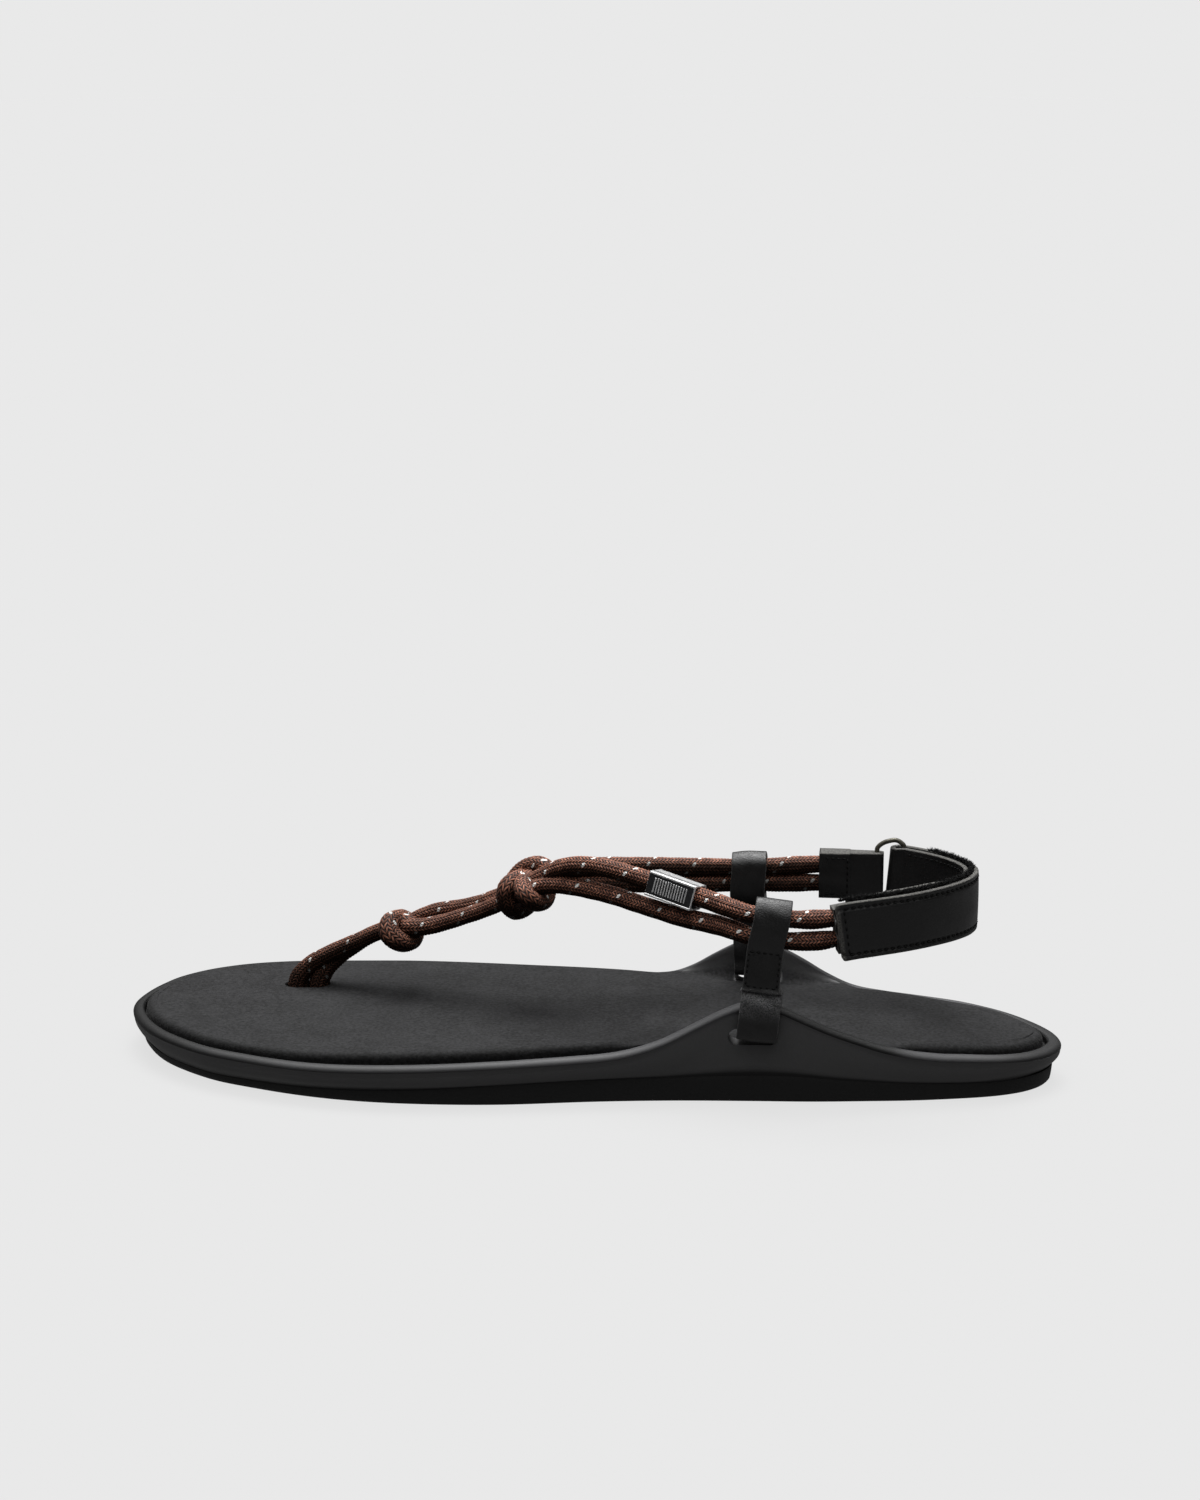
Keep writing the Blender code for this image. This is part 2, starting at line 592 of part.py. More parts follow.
def stadium(name, centre, length, width, axis, reach):
    """Long round-ended peg used to cut a slot; it runs along `axis` (Y or Z)."""
    verts = []
    r = width / 2
    straight = length / 2 - r
    for end in (-reach, reach):
        for k in range(PEG_SIDES):
            t = 2 * math.pi * (k + 0.5) / PEG_SIDES
            u = math.cos(t) * r + math.copysign(straight, math.cos(t))
            v = math.sin(t) * r
            p = (u, end, v) if axis == "Y" else (u, v, end)
            verts.append(Vector(centre) + Vector(p))
    faces = [tuple(range(PEG_SIDES)), tuple(range(PEG_SIDES, 2 * PEG_SIDES))]
    for k in range(PEG_SIDES):
        j = (k + 1) % PEG_SIDES
        faces.append((k, j, PEG_SIDES + j, PEG_SIDES + k))
    return as_tool(make(name, verts, faces))


outsole = build_outsole()
midsole = build_midsole()
footbed = build_footbed()

toe_slot = stadium("cut_toe_slot", TOE_SLOT, TOE_SLOT_LENGTH, TOE_SLOT_WIDTH, "Z", TOE_SLOT_REACH)
boolean(midsole, toe_slot, "DIFFERENCE")
boolean(footbed, toe_slot, "DIFFERENCE")
for label, spot in (("lateral", SLOT_LATERAL), ("medial", SLOT_MEDIAL)):
    cut = stadium("cut_slot_" + label, spot, SLOT_LENGTH, SLOT_HEIGHT, "Y", SLOT_REACH)
    boolean(midsole, cut, "DIFFERENCE")


# ---------------------------------------------------------------- rope upper
def build_core(name, centre, half):
    """Rounded mass of rope hidden in the middle of a knot."""
    bm = bmesh.new()
    bmesh.ops.create_uvsphere(bm, u_segments=10, v_segments=7, radius=MM)
    bmesh.ops.scale(bm, vec=Vector(half), verts=bm.verts[:])
    bmesh.ops.translate(bm, vec=Vector(centre) * MM, verts=bm.verts[:])
    mesh = bpy.data.meshes.new(name)
    bm.to_mesh(mesh)
    bm.free()
    mesh.materials.append(MAT_ROPE)
    obj = bpy.data.objects.new(name, mesh)
    bpy.context.scene.collection.objects.link(obj)
    return as_tool(obj)


def build_rope():
    """Toe loop, four cords and the turns of both knots joined in one rope body."""
    base = tube("rope_upper", TOE_LOOP, 1, mat=MAT_ROPE)
    pieces = []
    routes = (
        ("cord_near_lower", CORD_NEAR_LOWER), ("cord_near_upper", CORD_NEAR_UPPER),
        ("cord_far_upper", CORD_FAR_UPPER), ("cord_far_lower", CORD_FAR_LOWER),
    )
    for name, rows in routes:
        pieces.append(tube(name, rows, 1, mat=MAT_ROPE, phase=FACET_SHIFT * len(pieces)))
    for name, rows in KNOT_TURNS.items():
        spread = [Vector(r[:3]) for r in rows]
        middle = sum(spread, Vector()) / len(spread)
        normal = Vector()
        for a, b in zip(spread, spread[1:] + spread[:1]):
            normal += (a - middle).cross(b - middle)
        normal.normalize()
        shift = FACET_SHIFT * len(pieces)
        pieces.append(tube(name, rows, 1, closed=True, mat=MAT_ROPE, axes=normal, phase=shift))
    for k, (centre, half) in enumerate(KNOT_CORES):
        pieces.append(build_core("knot_core_%d" % k, centre, half))
    group = bpy.data.collections.new("rope_pieces")
    bpy.context.scene.collection.children.link(group)
    for piece in pieces:
        as_tool(piece)
        group.objects.link(piece)
        bpy.context.scene.collection.objects.unlink(piece)
    m = base.modifiers.new("join_rope", "BOOLEAN")
    m.operand_type = "COLLECTION"
    m.collection = group
    m.operation = "UNION"
    m.solver = "EXACT"
    m.use_self = True
    return base


rope = build_rope()


# ---------------------------------------------------------------- leather keepers
# closed outlines across the wing; columns: outward from the cords, height
KEEPER_OUTER = [
    (8.1, 21.0), (7.9, 24.7), (6.9, 29.7), (5.6, 33.2), (5.2, 34.6), (5.9, 35.0),
    (6.1, 35.6), (5.7, 40.0), (5.1, 45.0), (4.7, 50.0), (4.7, 56.4), (3.8, 59.5),
    (0.0, 60.9), (-3.8, 59.5), (-4.7, 56.4), (-4.7, 49.6), (-3.4, 46.4), (0.4, 43.4),
    (1.4, 40.0), (1.2, 35.0), (-0.2, 31.8), (-1.6, 28.0), (-2.0, 24.0), (-2.6, 20.6),
    (-1.8, 19.4), (0.0, 19.0), (6.2, 19.0), (7.6, 19.6),
]
KEEPER_LOW_EYE = [
    (6.9, 21.2), (6.7, 24.4), (5.7, 29.4), (4.3, 32.3), (2.9, 33.0), (1.2, 31.8),
    (-0.3, 28.0), (-0.8, 24.0), (-1.4, 21.0), (-0.8, 20.2), (6.2, 20.2),
]
KEEPER_TOP_EYE = [
    (3.5, 48.6), (3.5, 56.8), (2.7, 58.8), (0.0, 59.7), (-2.7, 58.8), (-3.5, 56.8),
    (-3.5, 48.6), (-2.4, 46.4), (0.0, 45.5), (2.4, 46.4),
]


def build_keeper(name, mat, x_mid, y_cords, side, tilt, lifts, spread):
    """Leather band standing in the wing's slot and looped over the two cords."""
    curve = bpy.data.curves.new(name, "CURVE")
    curve.dimensions = "2D"
    curve.fill_mode = "BOTH"
    curve.extrude = (KEEPER_WIDTH / 2 - KEEPER_EDGE) * MM
    curve.bevel_depth = KEEPER_EDGE * MM
    curve.bevel_resolution = 0
    for table, per in ((KEEPER_OUTER, 1), (KEEPER_LOW_EYE, 1), (KEEPER_TOP_EYE, 2)):
        pts = curve_points(table, per, closed=True)
        spline = curve.splines.new("POLY")
        spline.points.add(len(pts) - 1)
        spline.use_cyclic_u = True
        for k, (out, z) in enumerate(pts):
            share = min(1.0, max(0.0, (46.0 - z) / 22.0))
            out += spread * share
            z += mix(lifts[1], lifts[0], share)
            spline.points[k].co = (out * MM, z * MM, 0.0, 1.0)
    curve.materials.append(mat)
    obj = bpy.data.objects.new(name, curve)
    bpy.context.scene.collection.objects.link(obj)
    along = Vector((math.cos(tilt), 0, -math.sin(tilt)))
    out = Vector((0, -side, 0))
    up = Vector((math.sin(tilt), 0, math.cos(tilt)))
    if out.cross(up).dot(along) < 0:
        along = -along
    frame = Matrix((out, up, along)).transposed().to_4x4()
    pivot = Vector((x_mid, y_cords, KEEPER_PIVOT))
    frame.translation = (pivot - up * KEEPER_PIVOT) * MM
    obj.matrix_world = frame
    return obj


keeper_lateral = build_keeper(
    "keeper_lateral", MAT_KEEPER_L, 55.5, -31.3, 1, math.radians(5.5), (0.8, -0.3), 0.0)
keeper_medial = build_keeper(
    "keeper_medial", MAT_KEEPER_M, 46.4, 24.6, -1, math.radians(1.0), (0.8, -2.0), 1.9)


# ---------------------------------------------------------------- heel strap
def plan_normals(points):
    """Outward normals of an open plan path that turns round the heel."""
    out = []
    for i in range(len(points)):
        a = points[max(i - 1, 0)]
        b = points[min(i + 1, len(points) - 1)]
        v = Vector((b[0] - a[0], b[1] - a[1])).normalized()
        out.append(Vector((v.y, -v.x)))
    return out


def slab_section(centre, normal, half, low, high, slope=0.0):
    """Eight corners of a flat strap section with softened edges, square to a sloping strap."""
    c = min(0.3, half * 0.45)
    n = Vector((normal.x, normal.y, 0))
    along = Vector((-normal.y, normal.x, 0))
    middle = (low + high) / 2
    out = []
    for a, z in (
        (-half + c, low), (half - c, low), (half, low + c), (half, high - c),
        (half - c, high), (-half + c, high), (-half, high - c), (-half, low + c),
    ):
        shift = along * ((middle - z) * slope)
        out.append(Vector((centre.x, centre.y, 0)) + n * a + shift + Vector((0, 0, z)))
    return out


def strap_path():
    """Dense plan path of the outer face with bottom and top heights."""
    return curve_points(STRAP_OUTER, 2)


def build_strap():
    pts = strap_path()
    normals = plan_normals(pts)
    half = STRAP_PLY / 2
    rings = []
    # outer ply, from its free end to the ring
    for p, n in zip(pts, normals):
        c = Vector((p[0], p[1])) - n * half
        rings.append(slab_section(c, n, half, p[2], p[3], p[4]))
    # fold round the back bar of the ring
    bar = Vector((RING_BARS[1], RING_Y))
    last = pts[-1]
    for degrees in (78, 105, 135, 165, 195, 225, 255, 282):
        t = math.radians(degrees)
        n = Vector((math.cos(t), math.sin(t)))
        c = bar + n * (RING_WIRE_R + FOLD_GAP + half)
        rings.append(slab_section(c, n, half, last[2], last[3]))
    # inner ply, back to the near cords, thickening over their ends
    for p, n in reversed(list(zip(pts, normals))):
        inner = n * -1
        grow = 1 - ramp(p[0], 80.0, 92.0) if p[1] < 0 else 0.0
        thick = STRAP_PLY + 6.2 * grow
        c = Vector((p[0], p[1])) - n * (STRAP_TOTAL - STRAP_PLY + thick / 2)
        rings.append(slab_section(c, inner, thick / 2, p[2] + grow, p[3] - 2.4 * grow, -p[4]))
    verts, faces = rings_mesh(rings)
    return make("heel_strap", verts, faces, MAT_STRAP)


def build_tape():
    """Hook-and-loop fastening between the two plies."""
    pts = strap_path()[1:-2]
    normals = plan_normals(pts)
    rings = []
    for p, n in zip(pts, normals):
        c = Vector((p[0], p[1])) - n * (STRAP_TOTAL / 2)
        rings.append(slab_section(c, n, TAPE_THICK / 2, p[2] + TAPE_INSET, p[3] - TAPE_INSET, p[4]))
    verts, faces = rings_mesh(rings)
    return make("hook_and_loop_tape", verts, faces, MAT_TAPE)


def build_ring():
    """Wire ring with rounded corners joining the strap to the medial tab."""
    x0, x1 = RING_BARS
    z0, z1 = RING_SPAN
    z0 += RING_WIRE_R
    z1 -= RING_WIRE_R
    r = RING_CORNER
    rows = []
    corners = ((x1 - r, z1 - r, 0), (x0 + r, z1 - r, 90), (x0 + r, z0 + r, 180), (x1 - r, z0 + r, 270))
    for cx, cz, start in corners:
        for k in range(4):
            t = math.radians(start + 30 * k)
            rows.append((cx + r * math.cos(t), RING_Y, cz + r * math.sin(t), RING_WIRE_R))
    return tube("strap_ring", rows, 1, sides=8, closed=True, mat=MAT_RING, axes=Vector((0, 1, 0)))


def build_tab():
    """Leather folded over the front bar of the ring and stitched onto the medial cords."""
    rows = (
        (FAR_TAB_X[0], 3.3), (FAR_TAB_X[0] + 5.0, 3.3), (FAR_TAB_X[0] + 10.5, 2.9),
        (FAR_TAB_X[0] + 15.0, 2.9), (FAR_TAB_X[1] - 1.6, 2.5), (FAR_TAB_X[1] - 0.5, 1.8),
        (FAR_TAB_X[1], 0.9),
    )
    rings = []
    for x, half in rows:
        centre = Vector((x, RING_Y - 0.2))
        rings.append(slab_section(centre, Vector((0, 1)), half, FAR_TAB_Z[0], FAR_TAB_Z[1]))
    verts, faces = rings_mesh(rings)
    return make("ring_tab", verts, faces, MAT_TAB)


heel_strap = build_strap()
tape = build_tape()
ring = build_ring()
tab = build_tab()

for target, names in (
    (heel_strap, (("pocket_near_lower", CORD_NEAR_LOWER[-4:]), ("pocket_near_upper", CORD_NEAR_UPPER[-4:]))),
    (tab, (("pocket_far_upper", CORD_FAR_UPPER[-4:]), ("pocket_far_lower", CORD_FAR_LOWER[-4:]))),
):
    for label, rows in names:
        last = Vector(rows[-1][:3]) + (Vector(rows[-1][:3]) - Vector(rows[-2][:3])).normalized() * 0.4
        longer = list(rows[:-1]) + [(last.x, last.y, last.z, rows[-1][3])]
        pocket = tube(label, longer, 2, grow=POCKET_GAP)
        boolean(target, as_tool(pocket), "DIFFERENCE")
bar_rows = [
    (RING_BARS[0], RING_Y, RING_SPAN[0] - 2.0, RING_WIRE_R), (RING_BARS[0], RING_Y, 54.0, RING_WIRE_R),
    (RING_BARS[0], RING_Y, RING_SPAN[1] + 2.0, RING_WIRE_R),
]
boolean(tab, as_tool(tube("cut_ring_bar", bar_rows, 1, grow=FOLD_GAP)), "DIFFERENCE")


# ---------------------------------------------------------------- bead on the upper cord
def build_bead():
    along = Vector(BEAD_AXIS).normalized()
    up = Vector((0, 0, 1))
    up = (up - along * up.dot(along)).normalized()
    face = up.cross(along).normalized()
    turn = Matrix.Rotation(math.radians(BEAD_ROLL), 3, along)
    up = turn @ up
    face = turn @ face
    frame = Matrix((along, face, up)).transposed().to_4x4()
    frame.translation = Vector(BEAD_CENTRE) * MM
    lx, ly, lz = BEAD_SIZE
    bm = bmesh.new()
    bmesh.ops.create_cube(bm, size=1.0)
    bmesh.ops.scale(bm, vec=Vector((lx, ly, lz)) * MM, verts=bm.verts[:])
    bmesh.ops.bevel(bm, geom=bm.edges[:], offset=BEAD_EDGE * MM, segments=2, affect="EDGES", profile=0.5)
    mesh = bpy.data.meshes.new("bead")
    bm.to_mesh(mesh)
    bm.free()
    mesh.materials.append(MAT_BEAD)
    bead = bpy.data.objects.new("bead", mesh)
    bpy.context.scene.collection.objects.link(bead)
    bead.matrix_world = frame
    mesh.shade_smooth()
    mesh.set_sharp_from_angle(angle=math.radians(32.0))
    rows = [r for r in CORD_NEAR_UPPER if 5.0 < r[0] < 50.0]
    boolean(bead, as_tool(tube("cut_bead_bore", rows, 3, sides=BORE_SIDES, grow=BORE_GAP)), "DIFFERENCE")
    return bead


bead = build_bead()
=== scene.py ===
import math
import random

import bmesh
import bpy
import numpy as np
from mathutils import Matrix, Vector


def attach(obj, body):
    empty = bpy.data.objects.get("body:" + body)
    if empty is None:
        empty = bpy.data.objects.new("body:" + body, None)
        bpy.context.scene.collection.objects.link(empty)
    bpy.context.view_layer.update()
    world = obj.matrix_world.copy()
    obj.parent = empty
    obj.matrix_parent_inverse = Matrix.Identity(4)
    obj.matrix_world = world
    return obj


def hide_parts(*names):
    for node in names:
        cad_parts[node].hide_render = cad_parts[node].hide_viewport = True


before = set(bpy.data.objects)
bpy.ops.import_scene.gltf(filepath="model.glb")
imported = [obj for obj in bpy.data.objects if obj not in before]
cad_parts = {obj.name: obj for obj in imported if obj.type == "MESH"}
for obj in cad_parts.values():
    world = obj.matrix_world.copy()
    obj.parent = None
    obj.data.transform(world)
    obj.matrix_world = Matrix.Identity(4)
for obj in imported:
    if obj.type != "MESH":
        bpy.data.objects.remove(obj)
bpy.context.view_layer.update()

MM = 0.001
scene = bpy.context.scene

# ------------------------------------------------------------------ camera
CAMERA_AT = (102.627, -946.029, 332.305)
CAMERA_AZIMUTH = math.radians(6.055)
CAMERA_DOWN = math.radians(13.943)


def build_camera():
    data = bpy.data.cameras.new("camera")
    cam = bpy.data.objects.new("camera", data)
    scene.collection.objects.link(cam)
    data.sensor_fit = "VERTICAL"
    data.sensor_height = 36.0
    data.lens = 79.2
    data.clip_start = 0.01
    data.clip_end = 100.0
    ca, sa = math.cos(CAMERA_AZIMUTH), math.sin(CAMERA_AZIMUTH)
    ce, se = math.cos(CAMERA_DOWN), math.sin(CAMERA_DOWN)
    back = Vector((sa * ce, -ca * ce, se))
    right = Vector((ca, sa, 0.0))
    turn = Matrix((right, back.cross(right), back)).transposed().to_4x4()
    turn.translation = Vector(CAMERA_AT) * MM
    cam.matrix_world = turn
    scene.camera = cam


build_camera()

# ------------------------------------------------------------------ sizes (mm)
PART_GAP = 0.3
FOOTBED_THICK = 4.0
RIM_WIDTH = 3.3
LIP_HEIGHT = 1.9
GROOVE_WIDTH = 1.2
WING_LEAN = 2.6
WING_TALL = 15.8
FILLET_REACH = 6.0
TOE_SPRING = 2.0
SPRING_START = -85.0
SPRING_LENGTH = 56.0
STATIONS = 240

RIM_MEDIAL = [
    (-142.1, 2), (-141.1, 11.5), (-138.4, 20.8), (-133.4, 30.8), (-124, 40.6),
    (-110.5, 47.8),
    (-92, 51.6), (-68, 50.9), (-40, 47.9), (-8, 43), (20, 38),
    (45, 33.6), (70, 31.4), (88, 28.7), (104, 25.2), (116, 21.8),
    (126, 17), (133.6, 10.6), (138.8, 3.2), (140.8, -4.6),
]
RIM_LATERAL = [
    (140.8, -4.6), (139.4, -11), (135.6, -17.4), (129, -23.2), (119, -27.9),
    (103, -31.7), (86, -34.5), (68, -37.4), (50, -38.9), (28, -40.8), (5, -43.9),
    (-21.5, -49), (-45, -51.8), (-65, -52), (-82, -49.6), (-99, -44.2),
    (-113, -38.2), (-126.5, -27.9), (-134.6, -18.2), (-140, -7.5), (-142.1, 2),
]
# rim height without the wings; columns: x, z
RIM_BASE = [
    (-142, 12.2), (-120, 11.8), (-84, 11.7), (-50, 12.7), (-21, 13.9),
    (5, 14.9), (30, 15.3), (80, 15.2), (107, 14.6), (122, 13.5), (132, 12.6), (141, 12),
]
# top of the footbed; columns: x, z
BED_TOP = [
    (-142, 14), (-120, 13.5), (-90, 13.5), (-60, 14.9), (-27, 16.1),
    (3, 17.2), (30, 17.6), (86, 17.1), (107, 15.9), (122, 15.2), (132, 14.5), (141, 14.1),
]
# top edge of the outsole above the underside; columns: x, z
OUTSOLE_TOP = [
    (-142, 2.8), (-113, 2.6), (-92, 3.1), (-73, 3.7), (-49, 4.7), (-21, 6.4),
    (4, 7.1), (28, 7.6), (47, 8.2), (63, 8.1), (78, 6.9), (90, 6.1),
    (103, 5.5), (120, 5), (141, 5),
]
# distance from the rim line in to the foot of the sole; columns: x, inset
FOOT_INSET = [
    (-142, 3.7), (-128, 4.1), (-112, 5.1), (-85, 5.8), (-50, 4.6), (-20, 3.6),
    (30, 4.2), (64, 4.2), (93, 3.5), (120, 4), (141, 3.3),
]
# extra rim height of each wing; columns: x, rise
WING_LATERAL = [
    (-4, 0), (8, 0.4), (16, 1.6), (25, 4.4), (35, 9.3), (41, 12.3),
    (46.5, 14.5), (52, 15.6), (58, 14.2), (64.5, 11.5), (73.5, 7.7), (82.5, 4.5),
    (88.5, 2.6), (97, 0.9), (106, 0),
]
WING_MEDIAL = [
    (8, 0), (17, 0.6), (23, 1.8), (29, 4.7), (35, 8.7), (41, 12.4),
    (46, 14.7), (50, 14.9), (57, 11.9), (63, 8.7), (70, 4.6), (78, 1.3),
    (88, 0.2), (98, 0),
]
STATION_DENSITY = [
    (0, 2), (0.08, 1.6), (0.2, 0.9), (0.42, 0.75), (0.52, 1.2), (0.62, 1.5),
    (0.76, 1.4), (0.86, 0.95), (0.93, 1.4), (1, 2),
]

# ---------------------------------------------------------------- rope routes
# rope centre lines; columns: x, y, z, radius
TOE_LOOP = [
    (-61, 14.5, 34.8, 2.6), (-65.2, 16, 33.6, 2.55), (-69.3, 17, 31.8, 2.5),
    (-74, 18, 29.2, 2.5), (-80, 19.2, 26.2, 2.5), (-86, 20, 22.9, 2.55),
    (-90.8, 20.5, 19.6, 2.7), (-94.1, 20.6, 15.6, 2.9), (-94.9, 20.6, 11.8, 2.95),
    (-94, 20.6, 9, 2.9), (-91.6, 20.6, 7.9, 2.8), (-89.2, 20.6, 9, 2.9),
    (-88.3, 20.6, 11.8, 2.95), (-87.6, 20.8, 15.2, 3), (-85.4, 21.2, 19, 2.85),
    (-81.8, 21.6, 22.4, 2.6), (-77.2, 21.8, 25.8, 2.5), (-72.5, 21.2, 29.2, 2.5),
    (-67.8, 20, 31.8, 2.5), (-62.5, 17.8, 33.8, 2.5),
]
CORD_NEAR_LOWER = [
    (-63, 14, 34.2, 2.5), (-59.7, 11.8, 35.5, 2.6), (-56.7, 10.6, 36, 2.7),
    (-53, 10.2, 36.4, 2.7), (-47.9, 9.8, 37.8, 2.6), (-41.6, 8.6, 40.2, 2.5),
    (-35.2, 7, 42.9, 2.45), (-29.6, 4.8, 46, 2.5), (-26, 3.2, 48.4, 2.6),
    (-22.1, 1.5, 50.4, 2.6), (-18.3, 0, 52.6, 2.65), (-14.2, -1.4, 54.2, 2.7),
    (-9.4, -3, 54.9, 2.7), (-3.1, -5.5, 55, 2.7), (3.1, -7.9, 54.5, 2.7),
    (9.4, -10.7, 53.8, 2.7), (15.6, -13.5, 52.8, 2.7), (21.8, -16.3, 51.8, 2.7),
    (27.9, -19, 51, 2.8), (34.1, -21.8, 50.6, 2.85), (40.5, -24.9, 50.3, 2.9),
    (45.4, -28.8, 50.1, 2.75), (49.2, -31, 49.5, 2.55), (56, -31.5, 48.8, 2.5),
    (62, -31.7, 48.5, 2.65), (68.5, -30.5, 48.4, 2.85), (74, -29.2, 48.9, 2.4),
    (81, -28, 49.9, 2),
]
CORD_NEAR_UPPER = [
    (-60.5, 17.5, 34.6, 2.5), (-57.1, 17.6, 36, 2.6), (-53.8, 16.6, 38, 2.6),
    (-48.6, 15, 40.3, 2.55), (-42.1, 13, 42.1, 2.5), (-35.6, 10.4, 44.4, 2.5),
    (-29.9, 7.8, 47.3, 2.55), (-25, 5.4, 50.2, 2.6), (-20.5, 3.6, 52.8, 2.6),
    (-17, 2.2, 55, 2.65), (-14, 0.6, 57, 2.7), (-10.9, -1, 59, 2.75),
    (-6.4, -3.6, 61, 2.75), (-1.6, -6, 62.1, 2.75), (3.1, -7.9, 62.3, 2.75),
    (9.4, -10.7, 61.8, 2.75), (15.6, -13.5, 61, 2.75), (21.8, -16.3, 60, 2.75),
    (28, -19, 58.9, 2.75), (35.8, -22.7, 57.7, 2.85), (42.6, -27.2, 56.8, 2.85),
    (49, -31.1, 56.2, 2.6), (56, -31.5, 55.7, 2.5), (62, -31.7, 55.1, 2.55),
    (68.5, -30.5, 54.9, 2.8), (74, -29.2, 55.2, 2.4), (81, -28, 56, 2),
]
CORD_FAR_UPPER = [
    (-22, 7, 52.6, 2.7), (-16, 7.6, 55.2, 2.7), (-9, 8.6, 56.8, 2.75),
    (0, 10.6, 57.1, 2.75), (10, 13.2, 56.8, 2.75), (22, 16.7, 56, 2.75),
    (33, 20.9, 55, 2.7), (40.4, 24, 54.3, 2.5), (46.4, 24.8, 54.2, 2.5),
    (52.4, 25.2, 54.5, 2.55), (60, 25.9, 55, 2.75), (67, 26.1, 55.4, 2.5),
    (72, 26.2, 55.4, 2.1), (79, 26.2, 55.4, 2),
]
CORD_FAR_LOWER = [
    (-24, 6.4, 49.6, 2.7), (-17, 7.5, 51.2, 2.7), (-9, 8.8, 51.9, 2.75),
    (0, 10.6, 51.8, 2.75), (10, 13.2, 51.3, 2.75), (22, 16.7, 50.5, 2.75),
    (33, 20.9, 49.7, 2.7), (40.4, 24, 49.2, 2.5), (46.4, 24.8, 49.1, 2.5),
    (52.4, 25.2, 49.2, 2.55), (60, 25.9, 49.4, 2.75), (67, 26.1, 49.6, 2.5),
    (72, 26.2, 49.8, 2.1), (79, 26.2, 49.9, 2),
]
# turns of rope round the two knots, closed on themselves; columns: x, y, z, radius
KNOT_TURNS = {
    "knot_toe_front": [
        (-62.1, 13, 37.7, 2.8), (-63.3, 10, 37.5, 3), (-63.6, 8, 36, 3.15),
        (-62.5, 7, 34.1, 3.2), (-60.6, 7.5, 32.4, 3.1), (-58.7, 10.5, 31.1, 2.9),
        (-57.2, 15, 30.9, 2.8), (-57.1, 19, 32.2, 2.75), (-58.8, 21, 34.1, 2.7),
        (-60.7, 17.5, 36.6, 2.7),
    ],
    "knot_toe_back": [
        (-61, 14, 36.5, 2.6), (-58.6, 12.5, 36.7, 2.7), (-56.9, 12.5, 35.2, 2.6),
        (-57.4, 14, 32.5, 2.6), (-59.9, 16, 30.8, 2.6), (-62.4, 18, 31.4, 2.6),
        (-62.8, 17, 33.9, 2.6),
    ],
    "knot_instep_left": [
        (-22.1, 6, 54.1, 2.7), (-24.3, 2, 54.1, 2.7), (-25.9, 0, 52.6, 2.75),
        (-26.4, 0, 50, 2.8), (-25.8, 1, 47.1, 2.8), (-24.2, 4, 44.4, 2.75),
        (-22.1, 8, 43.7, 2.7), (-20.5, 12, 44.8, 2.7), (-19.8, 12, 48.6, 2.7),
        (-20.8, 10, 52, 2.7),
    ],
    "knot_instep_front": [
        (-20.3, 4, 54.4, 2.6), (-20.9, -1, 54, 2.7), (-20, -4.5, 52.7, 2.8),
        (-18.4, -5, 50.8, 2.8), (-16.6, -2, 48.9, 2.75), (-15, 3, 48.2, 2.75),
        (-14.6, 7, 49.6, 2.7), (-16.2, 10, 51.5, 2.7), (-18.7, 8, 53.9, 2.6),
    ],
    "knot_instep_top": [
        (-25.4, 10, 50.3, 2.6), (-24, 10, 53.8, 2.65), (-20.9, 9, 56.6, 2.7),
        (-17.4, 8, 57.8, 2.75), (-14.5, 6.5, 57, 2.7), (-13.1, 6, 54.4, 2.6),
        (-15.3, 10, 50, 2.6), (-20.6, 13, 47.7, 2.6),
    ],
}

# ---------------------------------------------------------------- heel strap route
# outer face of the strap from its free end round the heel to the ring
# columns: x, y, bottom z, top z, slope of the strap
STRAP_OUTER = [
    (75.2, -36.2, 43.9, 61, 0.15), (80, -35, 44.6, 61.7, 0.15),
    (87, -32.8, 45.2, 62.3, 0.13), (95, -29, 45.6, 62.7, 0.11),
    (102.3, -23.6, 45.7, 62.9, 0.08), (108.8, -16.6, 45.5, 62.9, 0.05),
    (113.4, -8.6, 45.2, 62.8, 0.02), (115, 0, 45, 62.6, 0),
    (113.2, 8.6, 44.9, 62.2, 0), (108.4, 16.6, 45, 61.9, 0),
    (102, 23.2, 45.2, 61.7, 0), (96.2, 27.6, 45.3, 61.6, 0),
]
STRAP_TOTAL = 4.4
STRAP_PLY = 1.5
STRAP_HEIGHT = 17.0
SEAM_INSET = 1.7
RING_WIRE_R = 1.0
RING_FAR_LEG_X = 92.3
RING_Y = 26.4
FAR_TAB_X = (67.2, 86.5)
FAR_TAB_Z = (45.5, 59.8)


# ------------------------------------------------------------------ maths helpers
def hermite(table, x):
    """Values of a two-column table at x, along a rounded curve."""
    t = np.array(table, float)
    xs, vs = t[:, 0], t[:, 1]
    n = len(xs)
    before = np.maximum(np.arange(n) - 1, 0)
    after = np.minimum(np.arange(n) + 1, n - 1)
    slope = (vs[after] - vs[before]) / (xs[after] - xs[before])
    x = np.clip(np.asarray(x, float), xs[0], xs[-1])
    i = np.clip(np.searchsorted(xs, x, side="right") - 1, 0, n - 2)
    h = xs[i + 1] - xs[i]
    s = (x - xs[i]) / h
    out = (1 + 2 * s) * (1 - s) ** 2 * vs[i] + s * (1 - s) ** 2 * h * slope[i]
    return out + s * s * (3 - 2 * s) * vs[i + 1] + s * s * (s - 1) * h * slope[i + 1]


def mix(a, b, t):
    """Value a share t of the way from a to b."""
    return a + (b - a) * t


